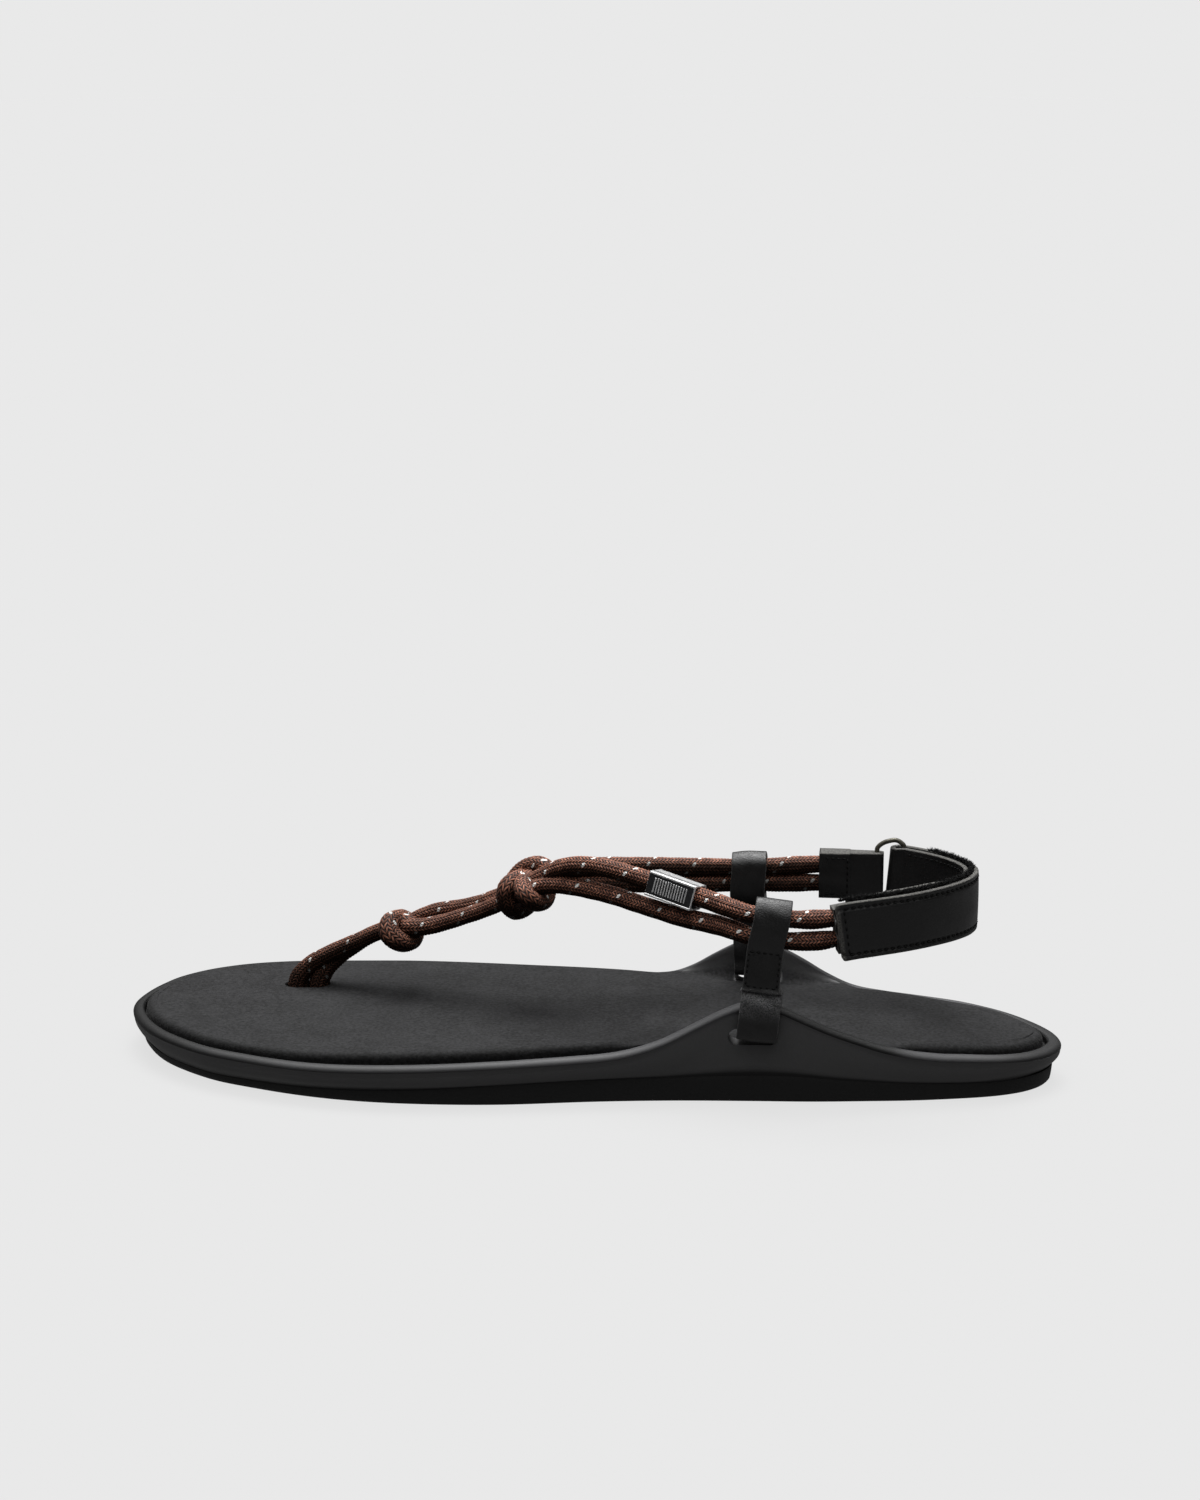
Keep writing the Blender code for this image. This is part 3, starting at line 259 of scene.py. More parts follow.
def ramp(v, low, high):
    """Smooth step from 0 at low to 1 at high; low may be the larger."""
    t = np.clip((v - low) / (high - low), 0.0, 1.0)
    return t * t * (3 - 2 * t)


def curve(rows, per, closed=False):
    """Catmull-Rom curve through rows of any width."""
    p = np.array(rows, float)
    n = len(p)
    spans = n if closed else n - 1
    i = np.arange(spans)
    if closed:
        a, b, c, d = (p[(i + k) % n] for k in (-1, 0, 1, 2))
    else:
        a, b, c, d = (p[np.clip(i + k, 0, n - 1)] for k in (-1, 0, 1, 2))
    t = (np.arange(per) / per)[None, :, None]
    a, b, c, d = (q[:, None, :] for q in (a, b, c, d))
    v = 2 * b + (c - a) * t + (2 * a - 5 * b + 4 * c - d) * t ** 2
    v = (v + (3 * b - a - 3 * c + d) * t ** 3) / 2
    v = v.reshape(-1, p.shape[1])
    return v if closed else np.vstack([v, p[-1:]])


def arc(points):
    """Running length along points."""
    step = np.linalg.norm(np.diff(points, axis=0), axis=1)
    return np.concatenate([[0.0], np.cumsum(step)])


def resample(rows, step, closed=False):
    """Rows at an even spacing along their first three columns, and that spacing's running length."""
    r = np.vstack([rows, rows[:1]]) if closed else np.asarray(rows)
    s = arc(r[:, :3])
    n = max(4, int(round(s[-1] / step)))
    want = np.linspace(0.0, s[-1], n + 1)
    if closed:
        want = want[:-1]
    out = np.stack([np.interp(want, s, r[:, k]) for k in range(r.shape[1])], axis=1)
    return out, want, s[-1]


def unit(v):
    """Vectors of length one."""
    return v / np.maximum(np.linalg.norm(v, axis=-1, keepdims=True), 1e-9)


# ------------------------------------------------------------------ mesh helpers
def make(name, verts, faces, mat, smooth_angle=40.0, uvs=None, values=None):
    """Mesh object from millimetre vertices; uvs are per face corner, values per vertex."""
    mesh = bpy.data.meshes.new(name)
    mesh.from_pydata((np.asarray(verts, float) * MM).tolist(), [], faces)
    mesh.validate()
    if uvs is not None:
        layer = mesh.uv_layers.new(name="braid")
        layer.data.foreach_set("uv", np.asarray(uvs, np.float32).ravel())
    for key, data in (values or {}).items():
        a = mesh.attributes.new(key, "FLOAT", "POINT")
        a.data.foreach_set("value", np.asarray(data, np.float32))
    obj = bpy.data.objects.new(name, mesh)
    scene.collection.objects.link(obj)
    mesh.materials.append(mat)
    tidy_normals(obj)
    mesh.shade_smooth()
    if smooth_angle < 180.0:
        mesh.set_sharp_from_angle(angle=math.radians(smooth_angle))
    return obj


def tidy_normals(obj):
    """Turn all faces outward."""
    bm = bmesh.new()
    bm.from_mesh(obj.data)
    bmesh.ops.recalc_face_normals(bm, faces=bm.faces[:])
    bm.to_mesh(obj.data)
    bm.free()


def loft(rings, closed_path=False):
    """Quads between equal rings."""
    n = len(rings[0])
    k = len(rings)
    faces = []
    for r in range(k if closed_path else k - 1):
        a = r * n
        b = (r + 1) % k * n
        faces += [(a + i, a + (i + 1) % n, b + (i + 1) % n, b + i) for i in range(n)]
    return faces


def bake_modifiers(obj):
    """Replace the mesh by its modified shape."""
    deps = bpy.context.evaluated_depsgraph_get()
    mesh = bpy.data.meshes.new_from_object(obj.evaluated_get(deps), depsgraph=deps)
    obj.modifiers.clear()
    obj.data = mesh
    return obj


def cut(obj, tools, smooth_angle=40.0):
    """Take the tools out of the object and remove them."""
    for tool in tools:
        m = obj.modifiers.new("cut", "BOOLEAN")
        m.object = tool
        m.operation = "DIFFERENCE"
        m.solver = "EXACT"
    bake_modifiers(obj)
    for tool in tools:
        bpy.data.objects.remove(tool, do_unlink=True)
    obj.data.shade_smooth()
    obj.data.set_sharp_from_angle(angle=math.radians(smooth_angle))


def piece(obj, slot, *nodes):
    """Visible piece that stands for CAD nodes, which it hides; the slot is not used."""
    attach(obj, "root")
    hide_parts(*nodes)
    return obj


# ------------------------------------------------------------------ material helpers
class Tree:
    """Short-hand for a material's nodes."""

    def __init__(self, name, rough, **sockets):
        self.mat = bpy.data.materials.new(name)
        self.mat.use_nodes = True
        self.tree = self.mat.node_tree
        self.skin = self.tree.nodes["Principled BSDF"]
        self.skin.inputs["Roughness"].default_value = rough
        for key, value in sockets.items():
            self.skin.inputs[key.replace("_", " ")].default_value = value

    def put(self, node, key, value):
        if isinstance(value, bpy.types.NodeSocket):
            self.tree.links.new(value, node.inputs[key])
        else:
            node.inputs[key].default_value = value

    def add(self, kind, inputs=None, **props):
        node = self.tree.nodes.new(kind)
        for key, value in props.items():
            setattr(node, key, value)
        for key, value in (inputs or {}).items():
            self.put(node, key, value)
        return node

    def math(self, op, *values):
        return self.add("ShaderNodeMath", dict(enumerate(values)), operation=op).outputs[0]

    def mul(self, a, b):
        return self.math("MULTIPLY", a, b)

    def plus(self, a, b):
        return self.math("ADD", a, b)

    def minus(self, a, b):
        return self.math("SUBTRACT", a, b)

    def noise(self, vector, scale, detail=3.0, rough=0.6):
        inputs = {"Vector": vector, "Scale": scale, "Detail": detail, "Roughness": rough}
        return self.add("ShaderNodeTexNoise", inputs).outputs["Fac"]

    def place(self):
        return self.add("ShaderNodeTexCoord").outputs["Object"]

    def value(self, name):
        return self.add("ShaderNodeAttribute", attribute_name=name).outputs["Fac"]

    def span(self, value, low, high, to_low=0.0, to_high=1.0):
        inputs = {"Value": value, "From Min": low, "From Max": high, "To Min": to_low, "To Max": to_high}
        return self.add("ShaderNodeMapRange", inputs).outputs["Result"]

    def blend(self, share, a, b):
        node = self.add("ShaderNodeMix", data_type="RGBA")
        self.put(node, 0, share)
        for key, value in ((6, a), (7, b)):
            if not isinstance(value, bpy.types.NodeSocket):
                value = (*value, 1.0)
            self.put(node, key, value)
        return node.outputs[2]

    def scaled(self, vector, scale):
        node = self.add("ShaderNodeMapping", {"Vector": vector})
        node.inputs["Scale"].default_value = scale
        return node.outputs["Vector"]

    def bump(self, height, distance, strength=1.0, normal=None):
        inputs = {"Height": height, "Distance": distance, "Strength": strength}
        if normal is not None:
            inputs["Normal"] = normal
        return self.add("ShaderNodeBump", inputs).outputs["Normal"]

    def finish(self, colour=None, rough=None, normal=None):
        for key, value in (("Base Color", colour), ("Roughness", rough), ("Normal", normal)):
            if value is not None:
                self.put(self.skin, key, value)
        return self.mat


def grey(v, tint=0.0):
    """Grey of level v, a little blue where tint is above 0."""
    return (v, v, v * (1 + tint))


def foam_material():
    """Moulded foam; `painted_shade`, `rim`, `lit` and `inner` mark painted shade, the rim, its painted
    highlight and brushed places.
    """
    t = Tree("midsole_foam", 0.5, Specular_IOR_Level=0.9)
    at = t.place()
    fine = t.noise(at, 2600.0, 2.0)
    broad = t.noise(at, 60.0, 3.0)
    share = t.plus(t.mul(fine, 0.6), t.mul(broad, 0.4))
    colour = t.blend(t.span(share, 0.35, 0.65), grey(0.042, 0.02), grey(0.060, 0.03))
    # painted shade: darker on the lower side wall and on the rim's inner wall
    colour = t.blend(t.value("painted_shade"), colour, grey(0.0055, 0.02))
    # the rim's colour is painted light: a highlight where lit, painted shade elsewhere
    colour = t.blend(t.value("rim"), colour, t.blend(t.value("lit"), grey(0.014), grey(0.085, 0.03)))
    inner = t.value("inner")
    colour = t.blend(inner, colour, brushed(t, at))
    rough = t.plus(t.span(fine, 0.3, 0.7, 0.44, 0.58), t.mul(inner, 0.3))
    skin = t.bump(t.noise(at, 1500.0, 4.0), 0.00012, 0.35)
    skin = t.bump(t.noise(at, 140.0, 3.0), 0.0006, 0.25, skin)
    plain = t.math("MAXIMUM", t.value("painted_shade"), t.math("MAXIMUM", t.value("rim"), inner))
    t.put(t.skin, "Specular IOR Level", t.minus(0.9, t.mul(plain, 0.65)))
    return t.finish(colour, rough, skin)


def brushed(t, at):
    """Colour of the brushed microfibre."""
    speck = t.noise(at, 1000.0, 2.0, 0.7)
    mottle = t.noise(at, 90.0, 4.0, 0.6)
    share = t.plus(t.mul(speck, 0.7), t.mul(mottle, 0.3))
    return t.blend(t.span(share, 0.36, 0.64), grey(0.009, 0.02), grey(0.031, 0.04))


def footbed_material():
    """Brushed microfibre: fine speckle, with a crimped rolled edge painted dark with shade."""
    t = Tree("footbed_microfibre", 0.9, Specular_IOR_Level=0.2)
    at = t.place()
    speck = t.noise(at, 1000.0, 2.0, 0.7)
    colour = brushed(t, at)
    edge = t.value("edge")
    crimp = t.noise(at, 900.0, 2.0)
    # painted shade along the rolled edge, broken up by the crimp
    dark = t.mul(edge, t.span(crimp, 0.35, 0.65, 0.6, 1.0))
    colour = t.blend(dark, colour, grey(0.003, 0.0))
    skin = t.bump(speck, 0.0002, 0.4)
    skin = t.bump(t.noise(at, 500.0, 3.0), 0.0005, t.mul(edge, 0.7), skin)
    t.skin.inputs["Sheen Weight"].default_value = 0.05
    t.skin.inputs["Sheen Roughness"].default_value = 0.5
    return t.finish(colour, None, skin)


def rubber_material():
    """Matt black rubber, paler at its worn foot and with a highlight painted along its top edge."""
    t = Tree("outsole_rubber", 0.7, Specular_IOR_Level=0.4)
    at = t.place()
    fine = t.noise(at, 1800.0, 3.0)
    colour = t.blend(t.span(fine, 0.35, 0.65), grey(0.003), grey(0.007))
    # paler at the worn foot edge; the paler top edge is a painted highlight
    colour = t.blend(t.mul(t.value("edge"), 0.5), colour, grey(0.02))
    skin = t.bump(fine, 0.00015, 0.4)
    return t.finish(colour, t.span(fine, 0.3, 0.7, 0.5, 0.72), skin)


def leather_material(name, dark, light, raw, rough):
    """Grained leather; `raw`, `worn` and `shade` values mark cut, scuffed and darker places."""
    t = Tree(name, rough, Specular_IOR_Level=0.6)
    at = t.place()
    cells = t.add("ShaderNodeTexVoronoi", {"Vector": at, "Scale": 1500.0}, feature="DISTANCE_TO_EDGE")
    pores = t.span(cells.outputs["Distance"], 0.0, 0.35)
    broad = t.noise(at, 160.0, 4.0)
    fibre = t.noise(at, 2400.0, 3.0, 0.7)
    colour = t.blend(t.span(broad, 0.3, 0.7), dark, light)
    colour = t.blend(t.mul(t.minus(1.0, pores), 0.35), colour, grey(0.004))
    pale = t.blend(t.span(fibre, 0.35, 0.65), grey(0.03), raw)
    colour = t.blend(t.value("raw"), colour, pale)
    worn = t.value("worn")
    colour = t.blend(t.mul(worn, t.span(fibre, 0.4, 0.6)), colour, grey(0.11, 0.03))
    colour = t.blend(t.mul(t.value("shade"), 0.75), colour, grey(0.001))
    skin = t.bump(pores, 0.00012, 0.4)
    skin = t.bump(fibre, 0.00025, t.plus(0.1, t.mul(t.value("raw"), 0.9)), skin)
    skin = t.bump(broad, 0.0007, 0.3, skin)
    rough = t.plus(t.span(broad, 0.3, 0.7, rough - 0.07, rough + 0.09),
                   t.mul(t.value("raw"), 0.35))
    return t.finish(colour, rough, skin)


# braid: rows round the rope, length and lean of a cell, height of its relief, pale tracer floats
ROPE_ROWS = 16
ROPE_PER_ROW = 4
ROPE_STEP = 0.23
CELL = 1.06
SLANT = 1.1
RELIEF = 0.36
RELIEF_SINK = 0.1
TRACERS = 6
TRACER_STEP = 2.35


def rope_material():
    """Braided sleeve: leaning cells in rows, one pale tracer strand winding round, with painted shade in the
    braid's hollows and on its undersides.
    """
    t = Tree("rope_brown", 0.55, Specular_IOR_Level=0.25)
    uv = t.add("ShaderNodeUVMap", uv_map="braid").outputs["UV"]
    split = t.add("ShaderNodeSeparateXYZ", {"Vector": uv})
    u, v = split.outputs["X"], split.outputs["Y"]
    row = t.math("FLOOR", v)
    w = t.math("FRACT", v)
    turn = t.minus(t.mul(t.math("MODULO", row, 2.0), 2.0), 1.0)
    lean = t.mul(t.mul(t.minus(w, 0.5), SLANT), turn)
    s = t.plus(t.math("DIVIDE", u, CELL), lean)
    q = t.math("FRACT", s)
    hump_w = t.math("SINE", t.mul(w, math.pi))
    hump_q = t.math("SINE", t.mul(q, math.pi))
    across = t.plus(t.mul(t.math("POWER", hump_w, 0.5), 0.6), 0.4)
    height = t.mul(t.math("POWER", hump_q, 0.8), across)
    key = t.add("ShaderNodeCombineXYZ", {"X": row, "Y": t.math("FLOOR", s)}).outputs[0]
    chance = t.add("ShaderNodeTexWhiteNoise", {"Vector": key}, noise_dimensions="2D").outputs["Value"]
    broad = t.noise(t.place(), 300.0, 3.0)
    light = t.blend(t.span(chance, 0.0, 1.0), (0.22, 0.080, 0.045), (0.70, 0.30, 0.19))
    light = t.blend(t.span(broad, 0.35, 0.65, 0.0, 0.5), light, (0.15, 0.058, 0.040))
    # painted shade: each cell darkens towards its edges, near black in the gaps between cells
    colour = t.blend(t.span(height, 0.45, 0.92), (0.008, 0.0045, 0.004), light)
    # tracer: pale floats spaced evenly round the rope, each a step further along
    spacing = ROPE_ROWS / TRACERS
    part = t.math("DIVIDE", v, spacing)
    y = t.mul(t.minus(t.math("FRACT", part), 0.5), spacing)
    along = t.plus(u, t.mul(t.math("FLOOR", part), TRACER_STEP))
    along = t.math("WRAP", along, TRACER_STEP * TRACERS / 2, -TRACER_STEP * TRACERS / 2)
    along = t.plus(along, t.mul(y, 0.5))
    far = t.plus(t.math("POWER", t.math("ABSOLUTE", t.math("DIVIDE", along, 0.5)), 2.4),
                 t.math("POWER", t.math("ABSOLUTE", t.math("DIVIDE", y, 0.66)), 2.4))
    tracer = t.span(far, 1.15, 0.75)
    colour = t.blend(tracer, colour, (0.95, 0.95, 0.92))
    # painted shade on the rope's undersides, with less sheen and gloss there
    painted_shade = t.value("painted_shade")
    colour = t.blend(t.mul(painted_shade, 0.85), colour, (0.010, 0.0075, 0.006))
    strands = t.noise(t.scaled(uv, (9.0, 3.0, 1.0)), 1.0, 3.0)
    skin = t.bump(height, 0.0002, 0.5)
    skin = t.bump(strands, 0.0001, 0.4, skin)
    t.skin.inputs["Sheen Roughness"].default_value = 0.35
    t.put(t.skin, "Sheen Weight", t.minus(0.12, t.mul(painted_shade, 0.11)))
    t.put(t.skin, "Specular IOR Level", t.minus(0.25, t.mul(painted_shade, 0.18)))
    return t.finish(colour, None, skin)


def fuzz_material():
    """Loops and hooks of the fastening."""
    t = Tree("hook_and_loop", 0.95, Specular_IOR_Level=0.2)
    spot = t.noise(t.place(), 1400.0, 3.0, 0.8)
    colour = t.blend(t.span(spot, 0.45, 0.66), grey(0.002), grey(0.04))
    return t.finish(colour, None, t.bump(spot, 0.0006, 0.9))


def wire_material():
    """Tarnished gunmetal."""
    t = Tree("ring_gunmetal", 0.35, Metallic=0.6)
    at = t.place()
    tarnish = t.noise(at, 350.0, 4.0)
    colour = t.blend(t.span(tarnish, 0.3, 0.7), (0.07, 0.066, 0.052), (0.16, 0.152, 0.12))
    grain = t.bump(t.noise(at, 3000.0), 0.00005, 0.3)
    return t.finish(colour, t.span(tarnish, 0.3, 0.7, 0.24, 0.45), grain)


def silver_material():
    """Bright metal with fine scuffs along the bead."""
    t = Tree("bead_metal", 0.25, Metallic=0.35)
    at = t.place()
    scuff = t.noise(t.scaled(at, (0.3, 1.0, 1.0)), 2500.0, 4.0)
    colour = t.blend(t.span(scuff, 0.3, 0.7), grey(0.72), grey(0.9))
    return t.finish(colour, t.span(scuff, 0.3, 0.7, 0.18, 0.34), t.bump(scuff, 0.00004, 0.25))


def enamel_material():
    """Dark panel of the bead."""
    t = Tree("bead_enamel", 0.42)
    scuff = t.noise(t.place(), 2200.0, 4.0)
    colour = t.blend(t.span(scuff, 0.35, 0.7), grey(0.012, 0.05), grey(0.03, 0.1))
    return t.finish(colour, t.span(scuff, 0.3, 0.7, 0.34, 0.5), t.bump(scuff, 0.00008, 0.3))


def thread_material():
    """Twisted black thread."""
    t = Tree("thread_black", 0.8, Specular_IOR_Level=0.15)
    twist = t.noise(t.place(), 4000.0, 2.0)
    colour = t.blend(t.span(twist, 0.35, 0.65), grey(0.003), grey(0.014))
    return t.finish(colour, None, t.bump(twist, 0.0001, 0.5))


FOAM = foam_material()
MICROFIBRE = footbed_material()
RUBBER = rubber_material()
ROPE = rope_material()
STRAP_LEATHER = leather_material(
    "strap_leather", grey(0.0028, 0.03), grey(0.006, 0.03), (0.17, 0.165, 0.15), 0.4)
KEEPER_LEATHER = leather_material(
    "keeper_leather", grey(0.004, 0.04), grey(0.009, 0.04), grey(0.10), 0.4)
FUZZ = fuzz_material()
WIRE = wire_material()
SILVER = silver_material()
ENAMEL = enamel_material()
THREAD = thread_material()


# ------------------------------------------------------------------ sole outline
def side_stations(before, points, after):
    """Outline points of one side, closer together where the shape turns."""
    dense = curve([before] + points + [after], 24)[24:-24]
    s = arc(dense)
    shares = np.linspace(0.0, 1.0, 2001)
    density = np.interp((shares[:-1] + shares[1:]) / 2, *np.array(STATION_DENSITY).T)
    weight = np.concatenate([[0.0], np.cumsum(density)])
    want = np.interp(np.linspace(0.0, weight[-1], STATIONS + 1), weight, shares) * s[-1]
    return np.stack([np.interp(want, s, dense[:, 0]), np.interp(want, s, dense[:, 1])], axis=1)


MEDIAL = side_stations(RIM_LATERAL[-2], RIM_MEDIAL, RIM_LATERAL[1])
LATERAL = side_stations(RIM_MEDIAL[1], RIM_LATERAL[::-1], RIM_MEDIAL[-2])
OUTLINE = np.vstack([MEDIAL, LATERAL[-2:0:-1]])
COUNT = len(OUTLINE)
ALONG = np.roll(OUTLINE, -1, axis=0) - np.roll(OUTLINE, 1, axis=0)
INWARD = unit(np.stack([ALONG[:, 1], -ALONG[:, 0]], axis=1))
IS_MEDIAL = np.arange(COUNT) <= STATIONS
X = OUTLINE[:, 0]
RISE = np.where(IS_MEDIAL, hermite(WING_MEDIAL, X), hermite(WING_LATERAL, X))
WING = np.clip(RISE, 0.0, None) / WING_TALL
WING = np.minimum(1.0, WING)
CLOSE = ramp(WING, 0.02, 0.14)
RIM = RIM_WIDTH + 0.7 * ramp(X, 122, 138)
CUP_EDGE = RIM + 0.3 + FILLET_REACH * (1 - (1 - WING) ** 2.2)
FOOT = hermite(FOOT_INSET, X)
BED = hermite(BED_TOP, X)
BAND = hermite(OUTSOLE_TOP, X)


def ground(x):
    """Height of the underside, which lifts towards the toe."""
    return TOE_SPRING * np.clip((SPRING_START - x) / SPRING_LENGTH, 0.0, None) ** 2


def ring_at(inset, height):
    """Ring moved inward from the rim; height is an array or a function of x."""
    xy = OUTLINE + INWARD * np.broadcast_to(inset, (COUNT,))[:, None]
    z = height(xy[:, 0]) if callable(height) else np.broadcast_to(height, (COUNT,))
    return np.column_stack([xy, z])


def grid_cap(verts, start, across, height=None):
    """Quads across a ring from side to side; returns new vertices and faces."""
    ring = np.asarray(verts[start:start + COUNT])
    base = len(verts)
    extra = []
    grid = []
    for k in range(1, STATIONS):
        a, b = ring[k], ring[COUNT - k]
        t = np.arange(1, across)[:, None] / across
        extra.append(a + (b - a) * t)
        first = base + (k - 1) * (across - 1)
        grid.append([start + k] + list(range(first, first + across - 1)) + [start + COUNT - k])
    extra = np.vstack(extra)
    if height is not None:
        extra[:, 2] = height(extra)
    faces = []
    for r0, r1 in zip(grid, grid[1:]):
        faces += [(r0[j], r0[j + 1], r1[j + 1], r1[j]) for j in range(across)]
    faces += [(start, grid[0][j + 1], grid[0][j]) for j in range(across)]
    faces += [(start + STATIONS, grid[-1][j], grid[-1][j + 1]) for j in range(across)]
    return np.vstack([verts, extra]), faces


def stadium(centre, length, width, axis, reach, segments=40):
    """Long round-ended peg along Y or Z, used to cut a slot."""
    r = width / 2
    straight = length / 2 - width / 2
    t = 2 * math.pi * (np.arange(segments) + 0.5) / segments
    u = np.cos(t) * r + np.copysign(straight, np.cos(t))
    v = np.sin(t) * r
    rings = []
    for end in (-reach, reach):
        e = np.full(segments, end)
        p = np.column_stack([u, e, v]) if axis == "Y" else np.column_stack([u, v, e])
        rings.append(p + np.array(centre))
    faces = loft(rings) + [tuple(range(segments)), tuple(range(segments, 2 * segments))]
    return make("cutter", np.vstack(rings), faces, FOAM)


SLOT_CENTRES = ((50.8, -35.0, 20.3), (48.5, 30.0, 19.4))


def toe_slot():
    return stadium((-91.6, 20.6, 12.0), 14.3, 7.4, "Z", 9.0)


def build_midsole():
    """Foam cup: side wall up from the outsole, rounded rim, inner face down to the footbed's well."""
    base = ground(X) + BAND - 0.15
    top = hermite(RIM_BASE, X) + WING * WING_TALL
    lean = WING_LEAN * WING
    well = BED - FOOTBED_THICK - PART_GAP
    low = FOOT - 0.8 + 0.9 * ramp(X, 125, 138) + 0.5 * ramp(X, -125, -138)
    rings = [ring_at(low + 0.2, base), ring_at(low, base + 0.2)]
    tips = 1 - ramp(X, -132, -95) * ramp(X, 136, 112)
    high = lean + 0.45 * (1 - ramp(WING, 0, 0.4)) * (1 - tips) + 0.3
    # painted shade on the lower side wall, reaching higher at the toe and heel ends and towards the toe
    dim = np.maximum(tips, 0.75 * ramp(X, -20, -70))
    shade = [np.ones(COUNT), np.ones(COUNT)]
    for t in np.linspace(0.06, 1.0, 16):
        inset = mix(high, low, (1 - t) ** (2.2 - 0.6 * tips))
        rings.append(ring_at(inset, mix(base, top - LIP_HEIGHT - 1.3, t)))
        shade.append(1 - ramp(t, 0.04 + 0.1 * dim, 0.16 + 0.45 * dim))
    tuck = lean + mix(0.4, 0.25, ramp(WING, 0, 0.4)) * (1 - 0.6 * tips)
    profile = (
        (tuck + 0.06, LIP_HEIGHT + 0.8), (tuck, LIP_HEIGHT + 0.35), (tuck - 0.12, LIP_HEIGHT + 0.12),
        (lean + 0.12, LIP_HEIGHT - 0.04), (lean + 0.03, LIP_HEIGHT - 0.2), (lean + 0.0, 1.4),
        (lean + 0.07, 1.1), (lean + 0.24, 0.8), (lean + 0.55, 0.5), (lean + 0.98, 0.24),
        (lean + 1.5, 0.07), (lean + RIM - 1.2, 0.0), (lean + RIM - 0.6, 0.02),
        (lean + RIM - 0.25, 0.14), (lean + RIM, 0.5),
    )
    rim_from = len(rings) + 4
    for inset, down in profile:
        rings.append(ring_at(inset, top - down))
    inner_from = len(rings)
    for t in np.linspace(0.1, 1.0, 12):
        start = lean + RIM
        bend = mix(RIM + 0.2, lean + RIM + 0.8, CLOSE)
        inset = (1 - t) ** 2 * start + 2 * t * (1 - t) * bend + t * t * CUP_EDGE
        z0 = top - 0.5
        z2 = mix(well + 0.35, BED, CLOSE)
        z1 = mix(0.5 * (z0 + z2), z2 + 0.12 * (z0 - z2), CLOSE)
        rings.append(ring_at(inset, (1 - t) ** 2 * z0 + 2 * t * (1 - t) * z1 + t * t * z2))
    rings.append(ring_at(CUP_EDGE, well))
    faces = loft(rings)
    rim, inner, painted_shade = np.zeros((3, len(rings), COUNT))
    rim[rim_from:inner_from] = 1.0
    for r in range(inner_from, len(rings)):
        inner[r] = CLOSE * ramp(r, inner_from, inner_from + 6)
    # painted shade on the lower side wall, and on the rim's inner wall down to the well outside the wings
    painted_shade[:len(shade)] = shade
    painted_shade[inner_from + 1:] = 1 - CLOSE
    verts = np.vstack(rings)
    verts, top_faces = grid_cap(verts, (len(rings) - 1) * COUNT, 8)
    verts, low_faces = grid_cap(verts, 0, 8)
    # painted highlight on the rim: brightest from the middle back, fading towards the toe and at the heel
    # tip, dark on the lateral wing's rear slope and dimmer on the medial one
    ends = (0.5 * ramp(X, -132, -70) + 0.5 * ramp(X, -60, 20)) * (1 - 0.8 * ramp(X, 110, 136))
    ends = ends * (1 - np.where(IS_MEDIAL, 0.6, 1.0) * ramp(X, 50, 60) * ramp(WING, 0.02, 0.15))
    lit = np.tile(ends, (len(rings), 1))
    hidden = len(verts) - COUNT * len(rings)
    marks = (("rim", rim, 0), ("inner", inner, 0), ("lit", lit, 0), ("painted_shade", painted_shade, 1))
    values = {name: np.concatenate([v.ravel(), np.full(hidden, rest)]) for name, v, rest in marks}
    obj = make("midsole_body", verts, faces + top_faces + low_faces, FOAM, values=values)
    cut(obj, [toe_slot()] + [stadium(centre, 14.5, 5.0, "Y", 12.0) for centre in SLOT_CENTRES])
    return piece(obj, "midsole_foam", "midsole")


def swell(p):
    """Slight unevenness of the footbed."""
    return 0.12 * np.sin(p[:, 0] * 0.11) * np.cos(p[:, 1] * 0.13)


def build_footbed():
    """Soft sheet with a rolled edge; profile columns: inward, drop, mark of the crimped edge's painted
    shade.
    """
    reach = CUP_EDGE + mix(GROOVE_WIDTH - 0.6 * ramp(X, -126, -138), -1.6, CLOSE)
    soft = 1 - CLOSE
    profile = (
        (0.0, FOOTBED_THICK, 0.0), (-0.05, 2.6, 1.0), (0.0, 1.9, 1.0), (0.08, 1.5, 1.0), (0.25, 1.15, 1.0),
        (0.45, 0.85, 1.0), (0.75, 0.6, 0.85), (1.1, 0.4, 0.6), (1.5, 0.24, 0.3), (2.1, 0.1, 0.1),
        (2.9, 0.0, 0.0),
    )
    rings = []
    edge = []
    for inward, drop, mark in profile:
        down = drop if drop == FOOTBED_THICK else drop * soft
        ring = ring_at(reach + inward, BED - down)
        ring[:, 2] += ramp(inward, 1.0, 2.9) * swell(ring)
        rings.append(ring)
        edge.append(np.full(COUNT, mark) * soft)
    verts = np.vstack(rings)
    faces = loft(rings)
    verts, top_faces = grid_cap(verts, (len(rings) - 1) * COUNT, 30,
                                lambda p: hermite(BED_TOP, p[:, 0]) + swell(p))
    verts, low_faces = grid_cap(verts, 0, 6)
    marks = np.concatenate(edge + [np.zeros(len(verts) - COUNT * len(rings))])
    obj = make("footbed_sheet", verts, faces + top_faces + low_faces, MICROFIBRE, values={"edge": marks})
    cut(obj, [toe_slot()])
    return piece(obj, "footbed_microfibre", "footbed")


def tread(p):
    """Underside height with shallow wavy grooves, plain near the edge."""
    x, y = p[:, 0], p[:, 1]
    wave = np.cos(2 * math.pi * (x + 2.2 * np.sin(2 * math.pi * y / 15.0)) / 6.0)
    return ground(x) + 0.9 * ramp(wave, 0.72, 0.92)


